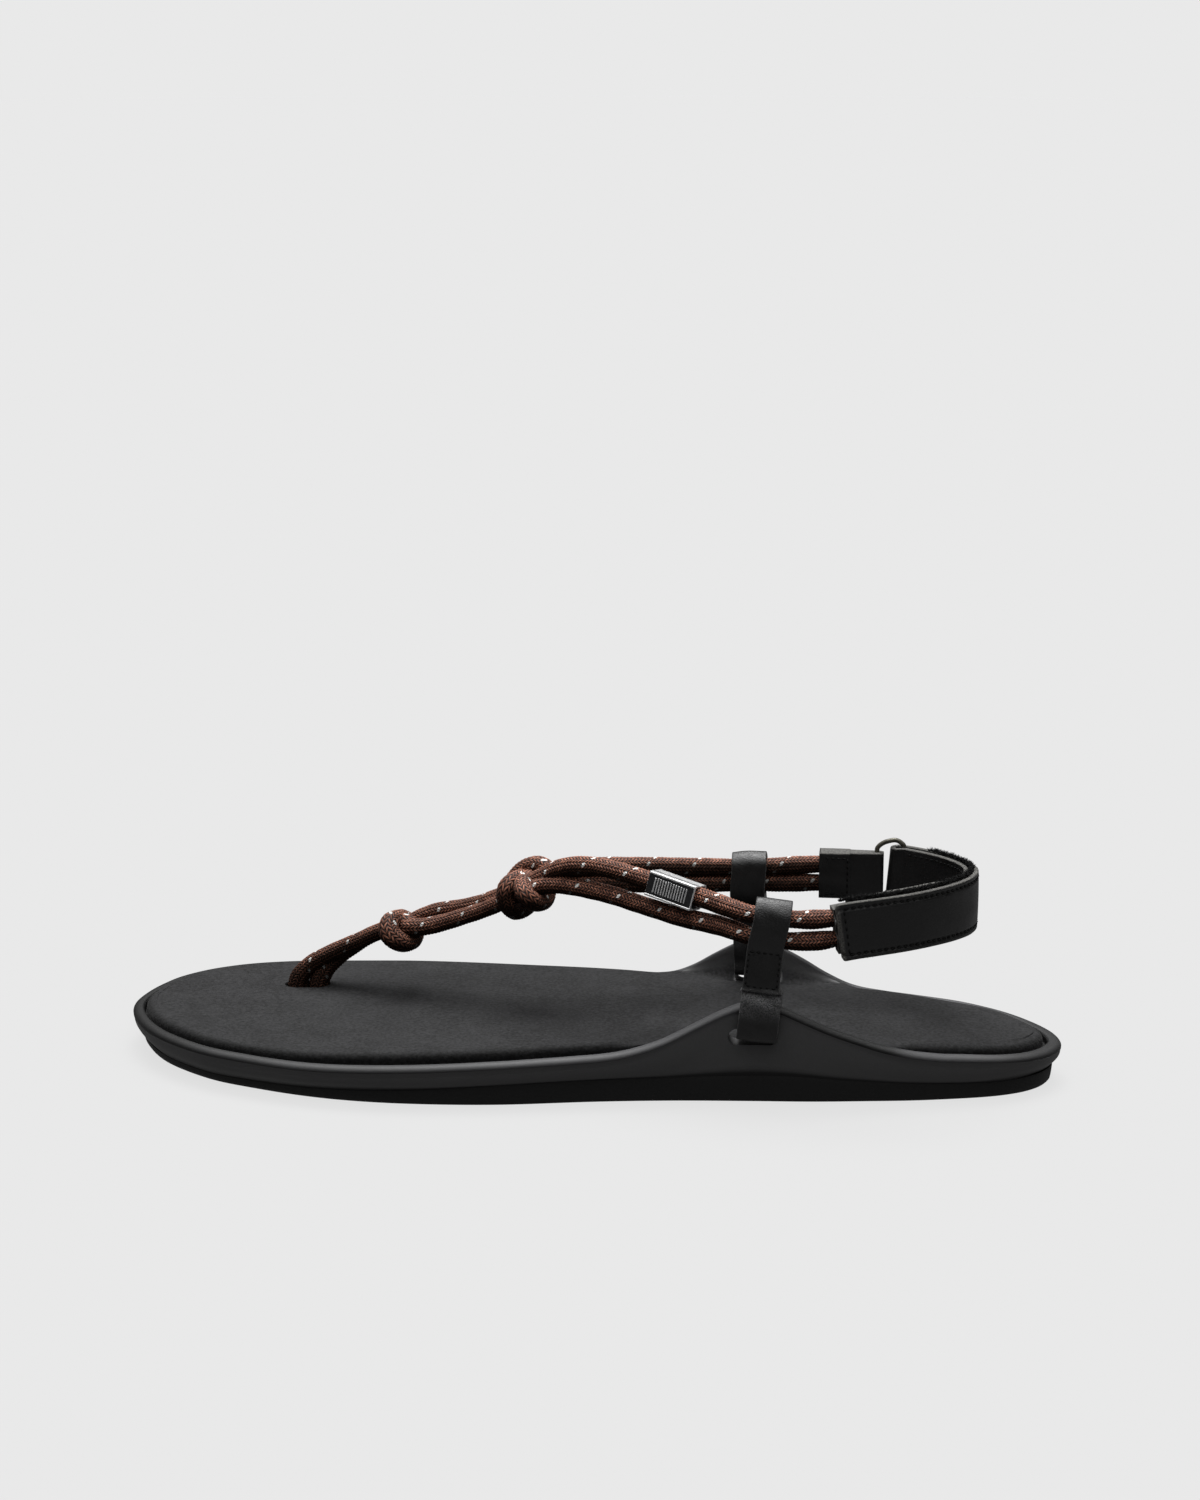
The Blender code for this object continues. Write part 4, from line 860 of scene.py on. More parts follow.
def build_outsole():
    """Rubber sheet; step columns: inward, height, share of the band's height, mark of the paler edge, worn
    at the foot and a painted highlight at the top.
    """
    steps = (
        (0.5, 0.0, 0.0, 0.0), (0.18, 0.06, 0.0, 0.2), (0.0, 0.3, 0.0, 0.5), (-0.2, 0.6, 0.0, 0.1),
        (-0.45, 0.0, 0.35, 0.0), (-0.62, 0.0, 0.6, 0.0), (-0.72, 0.0, 0.8, 0.0), (-0.8, 0.0, 0.95, 0.3),
        (-0.72, 0.0, 1.0, 0.6), (-0.2, 0.0, 1.0, 0.6),
    )
    rings = []
    edge = []
    for inward, up, share, mark in steps:
        rings.append(ring_at(FOOT + inward, lambda x: ground(x) + up + share * BAND))
        edge.append(np.full(COUNT, mark))
    verts = np.vstack(rings)
    faces = loft(rings)
    verts, low_faces = grid_cap(verts, 0, 90, tread)
    verts, top_faces = grid_cap(verts, (len(rings) - 1) * COUNT, 4)
    marks = np.concatenate(edge + [np.zeros(len(verts) - COUNT * len(rings))])
    obj = make("outsole_sheet", verts, faces + low_faces + top_faces, RUBBER, values={"edge": marks})
    return piece(obj, "outsole_rubber", "outsole")


build_midsole()
build_footbed()
build_outsole()


# ------------------------------------------------------------------ rope
def frames(points, closed, up):
    """Tangent, side and up at every point, turning as little as possible."""
    if closed:
        along = unit(np.roll(points, -1, axis=0) - np.roll(points, 1, axis=0))
    else:
        along = unit(np.gradient(points, axis=0))
    side = np.cross(along[0], up)
    sides = []
    for t in along:
        side = side - t * np.dot(side, t)
        side = side / np.linalg.norm(side)
        sides.append(side)
    sides = np.array(sides)
    ups = np.cross(along, sides)
    if closed:
        end = sides[-1] - along[0] * np.dot(sides[-1], along[0])
        twist = math.atan2(np.dot(end, ups[0]), np.dot(end, sides[0]))
        a = -twist * np.arange(len(points)) / len(points)
        c, s = np.cos(a)[:, None], np.sin(a)[:, None]
        sides, ups = sides * c + ups * s, ups * c - sides * s
    return along, sides, ups


def spokes(sides, ups, angle):
    """Directions out from each point of a route at every angle."""
    cos, sin = np.cos(angle)[None, :, None], np.sin(angle)[None, :, None]
    return sides[:, None, :] * cos + ups[:, None, :] * sin


def braid_height(u, v):
    """Relief of the braid, as in the rope's material."""
    row = np.floor(v)
    w = v - row
    s = u / CELL + (w - 0.5) * SLANT * ((row % 2) * 2 - 1)
    q = s - np.floor(s)
    return np.sin(math.pi * q).clip(0) ** 0.8 * (0.4 + 0.6 * np.sin(math.pi * w).clip(0) ** 0.5)


def rope_tube(name, rows, closed=False, start=0.0, up=(0, 0, 1), shade=(0.3, -0.35)):
    """Braided rope along a route; u runs along it in millimetres, v in rows round it.

    shade holds the upward lean of the surface from which, and to which, shade is painted on its underside.
    """
    pts, length, total = resample(curve(rows, 16, closed), ROPE_STEP, closed)
    u = length.copy()
    if closed:
        u *= round(total / CELL) * CELL / total
        u_end = round(total / CELL) * CELL
    centre, radius = pts[:, :3], pts[:, 3]
    _, sides, ups = frames(centre, closed, np.array(up, float))
    n = ROPE_ROWS * ROPE_PER_ROW
    v = np.arange(n) / ROPE_PER_ROW
    angle = 2 * math.pi * v / ROPE_ROWS
    uu, vv = np.meshgrid(u + start, v, indexing="ij")
    r = radius[:, None] - RELIEF_SINK + RELIEF * (braid_height(uu, vv) - 0.45)
    r = r * (1 + 0.012 * np.sin(uu * 0.9 + vv * 0.7) + 0.012 * np.sin(uu * 0.37 - vv * 0.35))
    ring = spokes(sides, ups, angle)
    verts = centre[:, None, :] + ring * r[:, :, None]
    k = len(centre)
    spans = k if closed else k - 1
    i, j = np.meshgrid(np.arange(spans), np.arange(n), indexing="ij")
    i, j = i.ravel(), j.ravel()
    i2, j2 = (i + 1) % k, (j + 1) % n
    faces = np.stack([i * n + j, i * n + j2, i2 * n + j2, i2 * n + j], axis=1)
    u_next = np.append(u[1:], u_end if closed else u[-1])
    u0, u1 = u[i] + start, u_next[i] + start
    v0, v1 = j / ROPE_PER_ROW, (j + 1) / ROPE_PER_ROW
    uvs = np.stack([np.stack(c, axis=1) for c in ((u0, v0), (u0, v1), (u1, v1), (u1, v0))], axis=1)
    faces = faces.tolist()
    uvs = uvs.reshape(-1, 2)
    if not closed:
        faces += [list(range(n)), list(range((k - 1) * n, k * n))]
        uvs = np.vstack([uvs, np.zeros((2 * n, 2))])
    painted_shade = ramp(ring[:, :, 2], *shade)
    x, z = centre[:, 0], centre[:, 2]
    if name == "rope_toe_loop":
        # painted shade on its rear strand and its foot
        painted_shade = np.maximum(painted_shade, (ramp(u, 44.0, 50.0) * ramp(z, 33.5, 30.0))[:, None])
        painted_shade = np.maximum(painted_shade, ramp(z, 22.0, 16.5)[:, None])
    # painted shade, a little deeper towards the toe
    painted_shade = np.maximum(painted_shade, 0.32 * ramp(x, -18.0, -42.0)[:, None])
    obj = make(name, verts.reshape(-1, 3), faces, ROPE, 180.0, uvs, {"painted_shade": painted_shade.ravel()})
    return piece(obj, "rope_brown", "rope_upper")


# each rope's shade says how far up its sides shade is painted; the far cords are painted dark nearly to
# their tops
rope_tube("rope_toe_loop", TOE_LOOP, start=3.0, shade=(0.8, 0.15))
rope_tube("rope_near_lower", CORD_NEAR_LOWER, start=5.0, shade=(0.22, -0.38))
rope_tube("rope_near_upper", CORD_NEAR_UPPER, start=2.0, shade=(0.22, -0.36))
rope_tube("rope_far_upper", CORD_FAR_UPPER, start=6.0, shade=(0.96, 0.27))
rope_tube("rope_far_lower", CORD_FAR_LOWER, start=9.0, shade=(0.98, 0.3))
for label, rows in KNOT_TURNS.items():
    middle = np.mean(np.array(rows)[:, :3], axis=0)
    spread = np.array(rows)[:, :3] - middle
    axis = unit(np.cross(spread, np.roll(spread, -1, axis=0)).sum(axis=0))
    rope_tube("rope_" + label, rows, closed=True, up=axis, shade=(0.4, -0.35))


# ------------------------------------------------------------------ small parts
def dashes(count, gap=0.14):
    """Shares of a run where each of its stitches starts and ends."""
    return [((k + gap) / count, (k + 1 - gap) / count) for k in range(count)]


def add_tube(verts, faces, rows, across, other, sides):
    """Append a small closed tube; rows hold a centre and a radius each."""
    base = len(verts)
    for centre, radius in rows:
        for k in range(sides):
            a = 2 * math.pi * k / sides
            verts.append(centre + (across * math.cos(a) + other * math.sin(a)) * radius)
    last = len(verts) - sides
    for a in range(base, last, sides):
        b = a + sides
        faces += [(a + k, a + (k + 1) % sides, b + (k + 1) % sides, b + k) for k in range(sides)]
    faces += [tuple(range(base, base + sides)), tuple(range(last, last + sides))]


def stitches(name, rows, radius, slot, node):
    """Threads between pairs of points, bowed a little off the surface: start, end, normal."""
    verts, faces = [], []
    for row in rows:
        start, end, normal = (np.array(q, float) for q in row)
        tube = []
        for t in np.linspace(0, 1, 6):
            bow = math.sin(math.pi * t)
            centre = start + (end - start) * t + normal * (0.3 * bow ** 0.6 - 0.12)
            tube.append((centre, radius * (0.55 + 0.45 * bow)))
        add_tube(verts, faces, tube, np.cross(unit(end - start), normal), normal, 6)
    obj = make(name, verts, faces, THREAD, 180.0)
    return piece(obj, slot, node)


def fibres(name, roots, mat, slot, node, length, radius, seed):
    """Many short curling hairs; roots hold a point and a direction each."""
    rng = np.random.default_rng(seed)
    verts, faces = [], []
    for at, way in roots:
        way = unit(np.array(way) + rng.normal(0, 0.45, 3))
        bend = unit(np.cross(way, rng.normal(0, 1, 3)))
        reach = length * rng.uniform(0.4, 1.2)
        hair = [(np.array(at) + way * reach * t + bend * reach * 0.5 * t * t, radius * (1 - 0.6 * t))
                for t in (0.0, 0.5, 1.0)]
        add_tube(verts, faces, hair, bend, np.cross(way, bend), 3)
    obj = make(name, verts, faces, mat, 180.0)
    return piece(obj, slot, node)


# ------------------------------------------------------------------ leather keepers
KEEPER_WIDTH = 11.6
KEEPER_PIVOT_Z = 57.0
# closed outlines across the wing; columns: outward from the cords, height
KEEPER_OUTER = [
    (8.1, 21), (7.9, 24.7), (6.9, 29.7), (5.7, 32.6), (5.3, 33.8), (6, 34.2),
    (6.2, 34.8), (5.7, 40), (5.1, 45), (4.9, 50), (4.6, 54.6), (3.4, 58.6),
    (0, 60.9), (-3.6, 59.2), (-4.6, 55.4), (-4.7, 49.6), (-3.4, 46.4), (0.4, 43.4),
    (1.4, 40), (1.2, 35), (-0.2, 31.8), (-1.6, 28), (-2, 24), (-2.6, 20.6),
    (-1.8, 19.4), (0, 19), (6.2, 19), (7.6, 19.6),
]
KEEPER_LOW_EYE = [
    (6.9, 21.2), (6.7, 24.4), (5.7, 29.4), (4.3, 32.3), (2.9, 33), (1.2, 31.8),
    (-0.3, 28), (-0.8, 24), (-1.4, 21), (-0.8, 20.2), (6.2, 20.2),
]
KEEPER_TOP_EYE = [
    (3.6, 48.6), (3.4, 55.4), (2.4, 58.3), (0, 59.7), (-2.7, 58.8), (-3.5, 56.8),
    (-3.5, 48.6), (-2.4, 46.4), (0, 45.5), (2.4, 46.4),
]


def keeper_place(point, spot):
    """World place of a point given as outward, height and along the keeper's width."""
    x_mid, y_cords, side, tilt = spot
    out = np.array((0.0, -side, 0.0))
    up = np.array((math.sin(tilt), 0.0, math.cos(tilt)))
    along = np.array((math.cos(tilt), 0.0, -math.sin(tilt)))
    p = np.asarray(point, float)
    pivot = np.array((x_mid, y_cords, KEEPER_PIVOT_Z))
    return pivot + p[..., :1] * out + (p[..., 1:2] - KEEPER_PIVOT_Z) * up + p[..., 2:3] * along


def keeper_shift(out, z, lifts, spread):
    """Fits the outline to its side: lifts at the foot and at the top, spread of the foot outward."""
    share = min(1.0, max(0.0, (46.0 - z) / 22.0))
    return out + spread * share, z + mix(lifts[1], lifts[0], share)


def build_keeper(name, node, slot, spot, lifts, spread):
    """Leather band standing in the wing's slot and looped over the two cords."""
    data = bpy.data.curves.new(name, "CURVE")
    data.dimensions = "2D"
    data.fill_mode = "BOTH"
    data.extrude = KEEPER_WIDTH / 2 - 0.3
    data.bevel_depth = 0.3
    data.bevel_resolution = 2
    data.offset = -0.05
    for table, per in ((KEEPER_OUTER, 8), (KEEPER_LOW_EYE, 6), (KEEPER_TOP_EYE, 6)):
        pts = curve(table, per, closed=True)
        spline = data.splines.new("POLY")
        spline.points.add(len(pts) - 1)
        spline.use_cyclic_u = True
        for k, (out, z) in enumerate(pts):
            spline.points[k].co = (*keeper_shift(out, z, lifts, spread), 0.0, 1.0)
    rough = bpy.data.objects.new(name + "_outline", data)
    scene.collection.objects.link(rough)
    bpy.context.view_layer.update()
    deps = bpy.context.evaluated_depsgraph_get()
    mesh = bpy.data.meshes.new_from_object(rough.evaluated_get(deps), depsgraph=deps)
    bpy.data.objects.remove(rough, do_unlink=True)
    bm = bmesh.new()
    bm.from_mesh(mesh)
    bmesh.ops.remove_doubles(bm, verts=bm.verts[:], dist=0.001)
    long_edges = [e for e in bm.edges if abs(e.verts[0].co.z - e.verts[1].co.z) > KEEPER_WIDTH * 0.8]
    bmesh.ops.subdivide_edges(bm, edges=long_edges, cuts=23, use_grid_fill=True)
    bmesh.ops.recalc_face_normals(bm, faces=bm.faces[:])
    bm.normal_update()
    half = KEEPER_WIDTH / 2
    lap_out, lap_z = keeper_shift(5.8, 34.3, lifts, spread)
    raw, worn, shade = [], [], []
    for v in bm.verts:
        out, z, along = v.co
        # cut edges and the lap's end are raw, the face below the lap is worn, the stitched box dark
        near_lap = math.exp(-((out - lap_out) / 0.7) ** 2 - ((z - lap_z) / 0.55) ** 2)
        raw.append(max(float(ramp(abs(along) / half, 0.955, 0.99)), near_lap))
        below = float(ramp(z, lap_z - 10.0, lap_z - 2.5) * ramp(z, lap_z + 0.3, lap_z - 0.4))
        worn.append(below * float(out > 3.8 + spread))
        inside = float(ramp(z, 34.6, 35.4) * ramp(z, 47.2, 45.8) * ramp(abs(along), 5.4, 4.8))
        shade.append(inside * float(out > 2.5))
    order = {v.index: k for k, v in enumerate(bm.verts)}
    for v in bm.verts:
        out, z, along = v.co
        share = along / half
        push = 0.22 * (1 - share * share) + 0.07 * math.sin(z * 1.1 + along * 0.6)
        box = max(abs(along) - 4.9, abs(z - 40.9) - 5.3)
        if out > 2.5:
            push -= 0.3 * math.exp(-(box / 0.5) ** 2) + 0.12 * float(box < 0)
        if share * share < 0.98:
            v.co += Vector((v.normal.x, v.normal.y, 0.0)) * push * (0.5 if out < -1 else 1.0)
        lap = float(ramp(z, 33.5, 36.0))
        v.co.z = along * (1.02 - 0.11 * lap) + mix(-0.5, 0.5, float(ramp(z, 46.0, 57.0))) * lap
    verts = np.array([v.co[:] for v in bm.verts])
    faces = [[order[v.index] for v in f.verts] for f in bm.faces]
    bm.free()
    values = {"raw": raw, "worn": worn, "shade": shade}
    obj = make(name, keeper_place(verts, spot), faces, KEEPER_LEATHER, 50.0, values=values)
    return piece(obj, slot, node)


def keeper_stitches(name, node, slot, spot, lifts, spread):
    """Box of stitching through the lapped plies, and frayed fibres at the lap's end."""
    side_x = 4.55
    low, high = 35.6, 46.2

    def face(z, along):
        out = float(np.interp(z, (34.8, 40.0, 45.0, 50.0), (6.2, 5.7, 5.1, 4.9)))
        out, z = keeper_shift(out, z, lifts, spread)
        return keeper_place((out + 0.2 * (1 - (along / 5.8) ** 2) - 0.22, z, along - 0.5), spot)

    corners = [(low, -side_x), (high, -side_x), (high, side_x), (low, side_x), (low, -side_x)]
    rows = []
    normal = keeper_place((1.0, 57.0, 0.0), spot) - keeper_place((0.0, 57.0, 0.0), spot)
    for (z0, a0), (z1, a1) in zip(corners, corners[1:]):
        for shares in dashes(max(1, round(math.hypot(z1 - z0, a1 - a0) / 1.85))):
            rows.append((*(face(mix(z0, z1, t), mix(a0, a1, t)) for t in shares), normal))
    stitches(name + "_stitches", rows, 0.3, slot, node)
    rng = random.Random(5)
    roots = []
    for _ in range(260):
        along = rng.choice((-4.6, -2.6, -0.4, 1.0, 3.2, 4.4)) + rng.gauss(0, 0.55)
        along = max(-5.6, min(5.6, along))
        z = 34.7 + rng.uniform(-0.5, 0.2)
        at = face(z, along) - normal * rng.uniform(0.0, 0.7)
        roots.append((at, normal * 0.7 + np.array((0, 0, -1.0))))
    fibres(name + "_lap_fibres", roots, FIBRE, slot, node, 0.9, 0.085, 11)


FIBRE = leather_material("leather_fibre", grey(0.2, 0.02), grey(0.34, 0.02), grey(0.3), 0.8)
# keeper places: x of its middle, y of the cords, side, tilt
NEAR_SPOT = (55.5, -31.3, 1, math.radians(5.5))
FAR_SPOT = (45.2, 24.6, -1, math.radians(-3.4))
for label, spot, lifts, spread in (
    ("lateral", NEAR_SPOT, (0.8, -0.3), 0.0), ("medial", FAR_SPOT, (0.8, -2.0), 1.9),
):
    node, slot = "keeper_" + label, "keeper_leather_" + label
    build_keeper("keeper_%s_band" % label, node, slot, spot, lifts, spread)
    keeper_stitches("keeper_" + label, node, slot, spot, lifts, spread)


# ------------------------------------------------------------------ heel strap
def slab(c, n, half, low, high, slope=0.0, bulge=0.0, lobe=0.0, steps=12, corner=0.4, groove=0.0):
    """Section of a strap ply: rounded corners, a little crown, optional swellings over two cords."""
    r = min(corner, half * 0.7)
    z_face = np.linspace(low + r, high - r, steps + 1)

    def rounding(first, z, sign):
        """Corner of the section: across, height, raw mark, side."""
        turns = [math.radians(a) for a in (first, first + 30, first + 60)]
        return [(sign * (half - r) + r * math.cos(t), z + r * math.sin(t), 1.0, sign) for t in turns]

    prof = [(half, z, 0.0, 1) for z in z_face]
    prof += rounding(30, high - r, 1) + rounding(90, high - r, -1)
    prof += [(-half, z, 0.0, -1) for z in z_face[::-1]]
    prof += rounding(210, low + r, -1) + rounding(270, low + r, 1)
    mid, tall = (low + high) / 2, (high - low) / 2
    n3 = np.array((n[0], n[1], 0.0))
    along = np.array((-n[1], n[0], 0.0))
    pts, raw = [], []
    for a, z, mark, sign in prof:
        q = (z - mid) / tall
        a += bulge * (1 - q * q)
        if lobe:
            swell = math.exp(-((q + 0.35) / 0.2) ** 2) + math.exp(-((q - 0.38) / 0.2) ** 2)
            a += sign * lobe * swell
        if groove and sign > 0:
            a -= groove * math.exp(-((tall * (1 - abs(q)) - 1.7) / 0.45) ** 2)
        pts.append(np.array((c[0], c[1], 0.0)) + n3 * a + along * (mid - z) * slope + np.array((0, 0, z)))
        raw.append(mark)
    return np.array(pts), np.array(raw)


def plan(rows, per):
    """Dense rows of a strap's route and its outward normals."""
    pts = curve(rows, per)
    way = unit(np.gradient(pts[:, :2], axis=0))
    return pts, np.stack([way[:, 1], -way[:, 0]], axis=1)


def sweep(name, sections, mat, slot, node):
    """Loft through strap sections and close both ends."""
    rings = [s[0] for s in sections]
    raw = np.concatenate([s[1] for s in sections])
    n = len(rings[0])
    raw[:n] = 1.0
    raw[-n:] = 1.0
    verts = np.vstack(rings)
    faces = loft(rings)
    half = n // 2
    for start in (0, len(verts) - n):
        faces += [(start + k, start + k + 1, start + n - 2 - k, start + n - 1 - k) for k in range(half - 1)]
    values = {"raw": raw, "worn": np.zeros(len(raw))}
    obj = make(name, verts, faces, mat, 50.0, values=values)
    return piece(obj, slot, node)


def toward_ring(points):
    """Draws the strap's far end a little forward, more so low down."""
    p = np.array(points, float)
    w = ramp(p[:, 0], 103.0, 93.0) * (p[:, 1] > 16.0)
    p[:, 0] -= w * (1.0 + 1.35 * np.clip((61.6 - p[:, 2]) / 16.3, 0.0, 1.0))
    return p


def build_strap():
    """Strap from its free end round the heel, about the ring's wire and back inside itself."""
    pts, normals = plan(STRAP_OUTER, 8)
    s = arc(pts[:, :2])
    half = STRAP_PLY / 2
    sections = []
    for p, n, d in zip(pts, normals, s):
        c = p[:2] - n * half
        nip = 1.1 - math.sqrt(max(0.0, 1.1 ** 2 - (1.1 - d) ** 2)) if d < 1.1 else 0.0
        sections.append(slab(c, n, half, p[2] + nip, p[3] - nip, p[4], bulge=0.18, steps=44, groove=0.42))
        if d < 0.9:
            sections[-1][1][:] = 0.9
    bar = np.array((RING_FAR_LEG_X, RING_Y))
    last = pts[-1]
    for degrees in range(70, 256, 9):
        t = math.radians(degrees)
        n = np.array((math.cos(t), math.sin(t)))
        c = bar + n * (RING_WIRE_R + 0.35 + half)
        sections.append(slab(c, n, half, last[2], last[3], steps=44))
    for p, n in reversed(list(zip(pts, normals))):
        grow = 1 - float(ramp(p[0], 80.0, 92.0)) if p[1] < 0 else 0.0
        thick = STRAP_PLY + 3.4 * grow
        c = p[:2] - n * (STRAP_TOTAL - STRAP_PLY + (STRAP_PLY + 6.2 * grow) / 2)
        low = p[2] + grow
        high = p[3] + 0.9 * float(ramp(p[0], 113.0, 102.0)) * (p[1] < 0) - 3.3 * grow
        sections.append(slab(c, -n, thick / 2, low, high, -p[4], lobe=1.35 * grow, steps=44))
    for points, _ in sections:
        points[:] = toward_ring(points)
    sweep("heel_strap_leather", sections, STRAP_LEATHER, "strap_leather", "heel_strap")


def strap_face(pts, normals, s, d, share, depth=0.0):
    """Point and outward normal on the strap at distance d and share of the height."""
    row = np.array([np.interp(d, s, pts[:, k]) for k in range(5)])
    n = unit(np.array([np.interp(d, s, normals[:, k]) for k in range(2)]))
    z = row[2] + (row[3] - row[2]) * share
    mid = (row[2] + row[3]) / 2
    q = 2 * share - 1
    along = np.array((-n[1], n[0], 0.0))
    n3 = np.array((n[0], n[1], 0.0))
    at = np.array((row[0], row[1], z)) + along * (mid - z) * row[4]
    at = toward_ring((at + n3 * (0.18 * (1 - q * q) - depth))[None, :])[0]
    return at, n3


def build_strap_stitches():
    """Two seams along the strap, on both faces, and one across its free end."""
    pts, normals = plan(STRAP_OUTER, 8)
    s = arc(pts[:, :2])
    inset = SEAM_INSET / STRAP_HEIGHT
    rows = []
    pitch = 2.1

    def run(d0, d1, share0, share1, depth, flip=1):
        """Stitches between two places, given as distance along the strap and share of its height."""
        length = abs(d1 - d0) + abs(share1 - share0) * STRAP_HEIGHT
        for shares in dashes(max(1, round(length / pitch)), 0.15):
            (a, normal), (b, _) = (
                strap_face(pts, normals, s, mix(d0, d1, t), mix(share0, share1, t), depth) for t in shares)
            rows.append((a, b, normal * flip))

    end = s[-1] - 1.0
    for share in (inset, 1 - inset):
        run(2.0, end, share, share, 0.28)
        run(20.0, end, share, share, STRAP_TOTAL + 0.02, -1)
    run(2.3, 2.3, inset, 1 - inset, 0.1)
    stitches("heel_strap_stitches", rows, 0.29, "strap_leather", "heel_strap")


def build_tape():
    """Fastening between the strap's plies, with its fuzz standing out above and below."""
    pts, normals = plan(STRAP_OUTER[:-1], 8)
    s = arc(pts[:, :2])
    sections = []
    for p, n in zip(pts[6:], normals[6:]):
        c = p[:2] - n * (STRAP_TOTAL / 2)
        top = p[3] + mix(-0.4, 0.5, float(ramp(p[0], 113.0, 102.0)) * (p[1] < 0))
        sections.append(slab(c, n, 0.62, p[2] + 0.9, top, p[4], steps=6, corner=0.25))
    sweep("hook_and_loop_layers", sections, FUZZ, "hook_and_loop", "hook_and_loop_tape")
    rng = random.Random(9)
    roots = []
    for _ in range(5200):
        d = rng.uniform(1.5, s[-1])
        top = rng.random() < 0.75
        at, n3 = strap_face(pts, normals, s, d, 1.02 if top else 0.045, rng.uniform(1.5, 2.9))
        roots.append((at, np.array((0, 0, 1.0 if top else -1.0)) + n3 * rng.uniform(-0.4, 0.4)))
    fibres("hook_and_loop_fuzz", roots, FUZZ, "hook_and_loop", "hook_and_loop_tape", 1.0, 0.1, 21)


def build_ring():
    """Wire loop with an arched top, its far leg inside the strap's fold; columns: x, z."""
    route = (
        (84.6, 47.0), (84.5, 54.0), (84.4, 60.0), (84.8, 61.4), (86.2, 62.6), (88.0, 63.3), (90.0, 63.6),
        (91.7, 62.8), (92.6, 61.0), (91.6, 54.0), (90.2, 47.0), (89.2, 44.8), (87.4, 44.0), (85.6, 44.8),
    )
    count, radius = 20, 0.72
    centre, _, _ = resample(curve([(x, RING_Y, z) for x, z in route], 12, True), 0.3, True)
    _, sides, ups = frames(centre, True, np.array((0.0, 1.0, 0.0)))
    verts = centre[:, None, :] + spokes(sides, ups, 2 * math.pi * np.arange(count) / count) * radius
    obj = make("ring_wire", verts.reshape(-1, 3), loft(verts, True), WIRE, 180.0)
    piece(obj, "ring_gunmetal", "strap_ring")


def build_tab():
    """Leather tab over the inner cords' ends, narrowing to the ring; columns: x, half thickness."""
    x0, x1 = FAR_TAB_X
    rows = (
        (x0, 3.0), (x0 + 0.5, 3.3), (x0 + 8.4, 3.2), (x0 + 9.4, 2.5), (x0 + 15.0, 2.0), (x1 - 1.6, 2.0),
        (x1 - 0.5, 1.6), (x1, 1.0),
    )
    y_tab = RING_Y - 0.2
    sections = []
    for x, half in curve(rows, 8):
        lobe = 0.22 * float(ramp(x, x0 + 13.0, x0 + 8.0))
        sections.append(slab((x, y_tab), np.array((0.0, 1.0)), half - lobe, *FAR_TAB_Z, lobe=lobe))
    sweep("ring_tab_leather", sections, STRAP_LEATHER, "tab_leather", "ring_tab")
    rows = []
    low, high = FAR_TAB_Z
    for sign in (-1, 1):
        normal = np.array((0.0, sign, 0.0))
        for shares in dashes(6):
            ends = [(x0 + 8.4, y_tab + sign * 3.2, mix(low + 1.4, high - 1.4, t)) for t in shares]
            rows.append((*ends, normal))
        for z in (low + 1.5, high - 1.5):
            for shares in dashes(4):
                ends = [(mix(x0 + 1.5, x0 + 8.2, t), y_tab + sign * 3.35, z) for t in shares]
                rows.append((*ends, normal))
    stitches("ring_tab_stitches", rows, 0.26, "tab_leather", "ring_tab")


build_strap()
build_strap_stitches()
build_tape()
build_ring()
build_tab()

# ------------------------------------------------------------------ bead
BEAD_CENTRE = (26.5, -18.3, 58.9)
BEAD_AXIS = (18.0, -8.0, -3.6)
BEAD_SIZE = (15.6, 7.4, 7.6)
BEAD_ROLL = -11.0
RIB_COUNT = 13
RIB_FIRST = -5.3
RIB_PITCH = 0.87


def bead_frame():
    """Directions along the bead, out of its face and up its face."""
    along = Vector(BEAD_AXIS).normalized()
    up = Vector((0, 0, 1))
    up = (up - along * up.dot(along)).normalized()
    face = up.cross(along).normalized()
    turn = Matrix.Rotation(math.radians(BEAD_ROLL), 3, along)
    return np.array([along, turn @ face, turn @ up])


def bead_piece(name, verts, faces, mat):
    """Piece given in the bead's own directions."""
    world = np.asarray(verts, float) @ bead_frame() + np.array(BEAD_CENTRE)
    return piece(make(name, world, faces, mat, 35.0), "bead_metal", "bead")


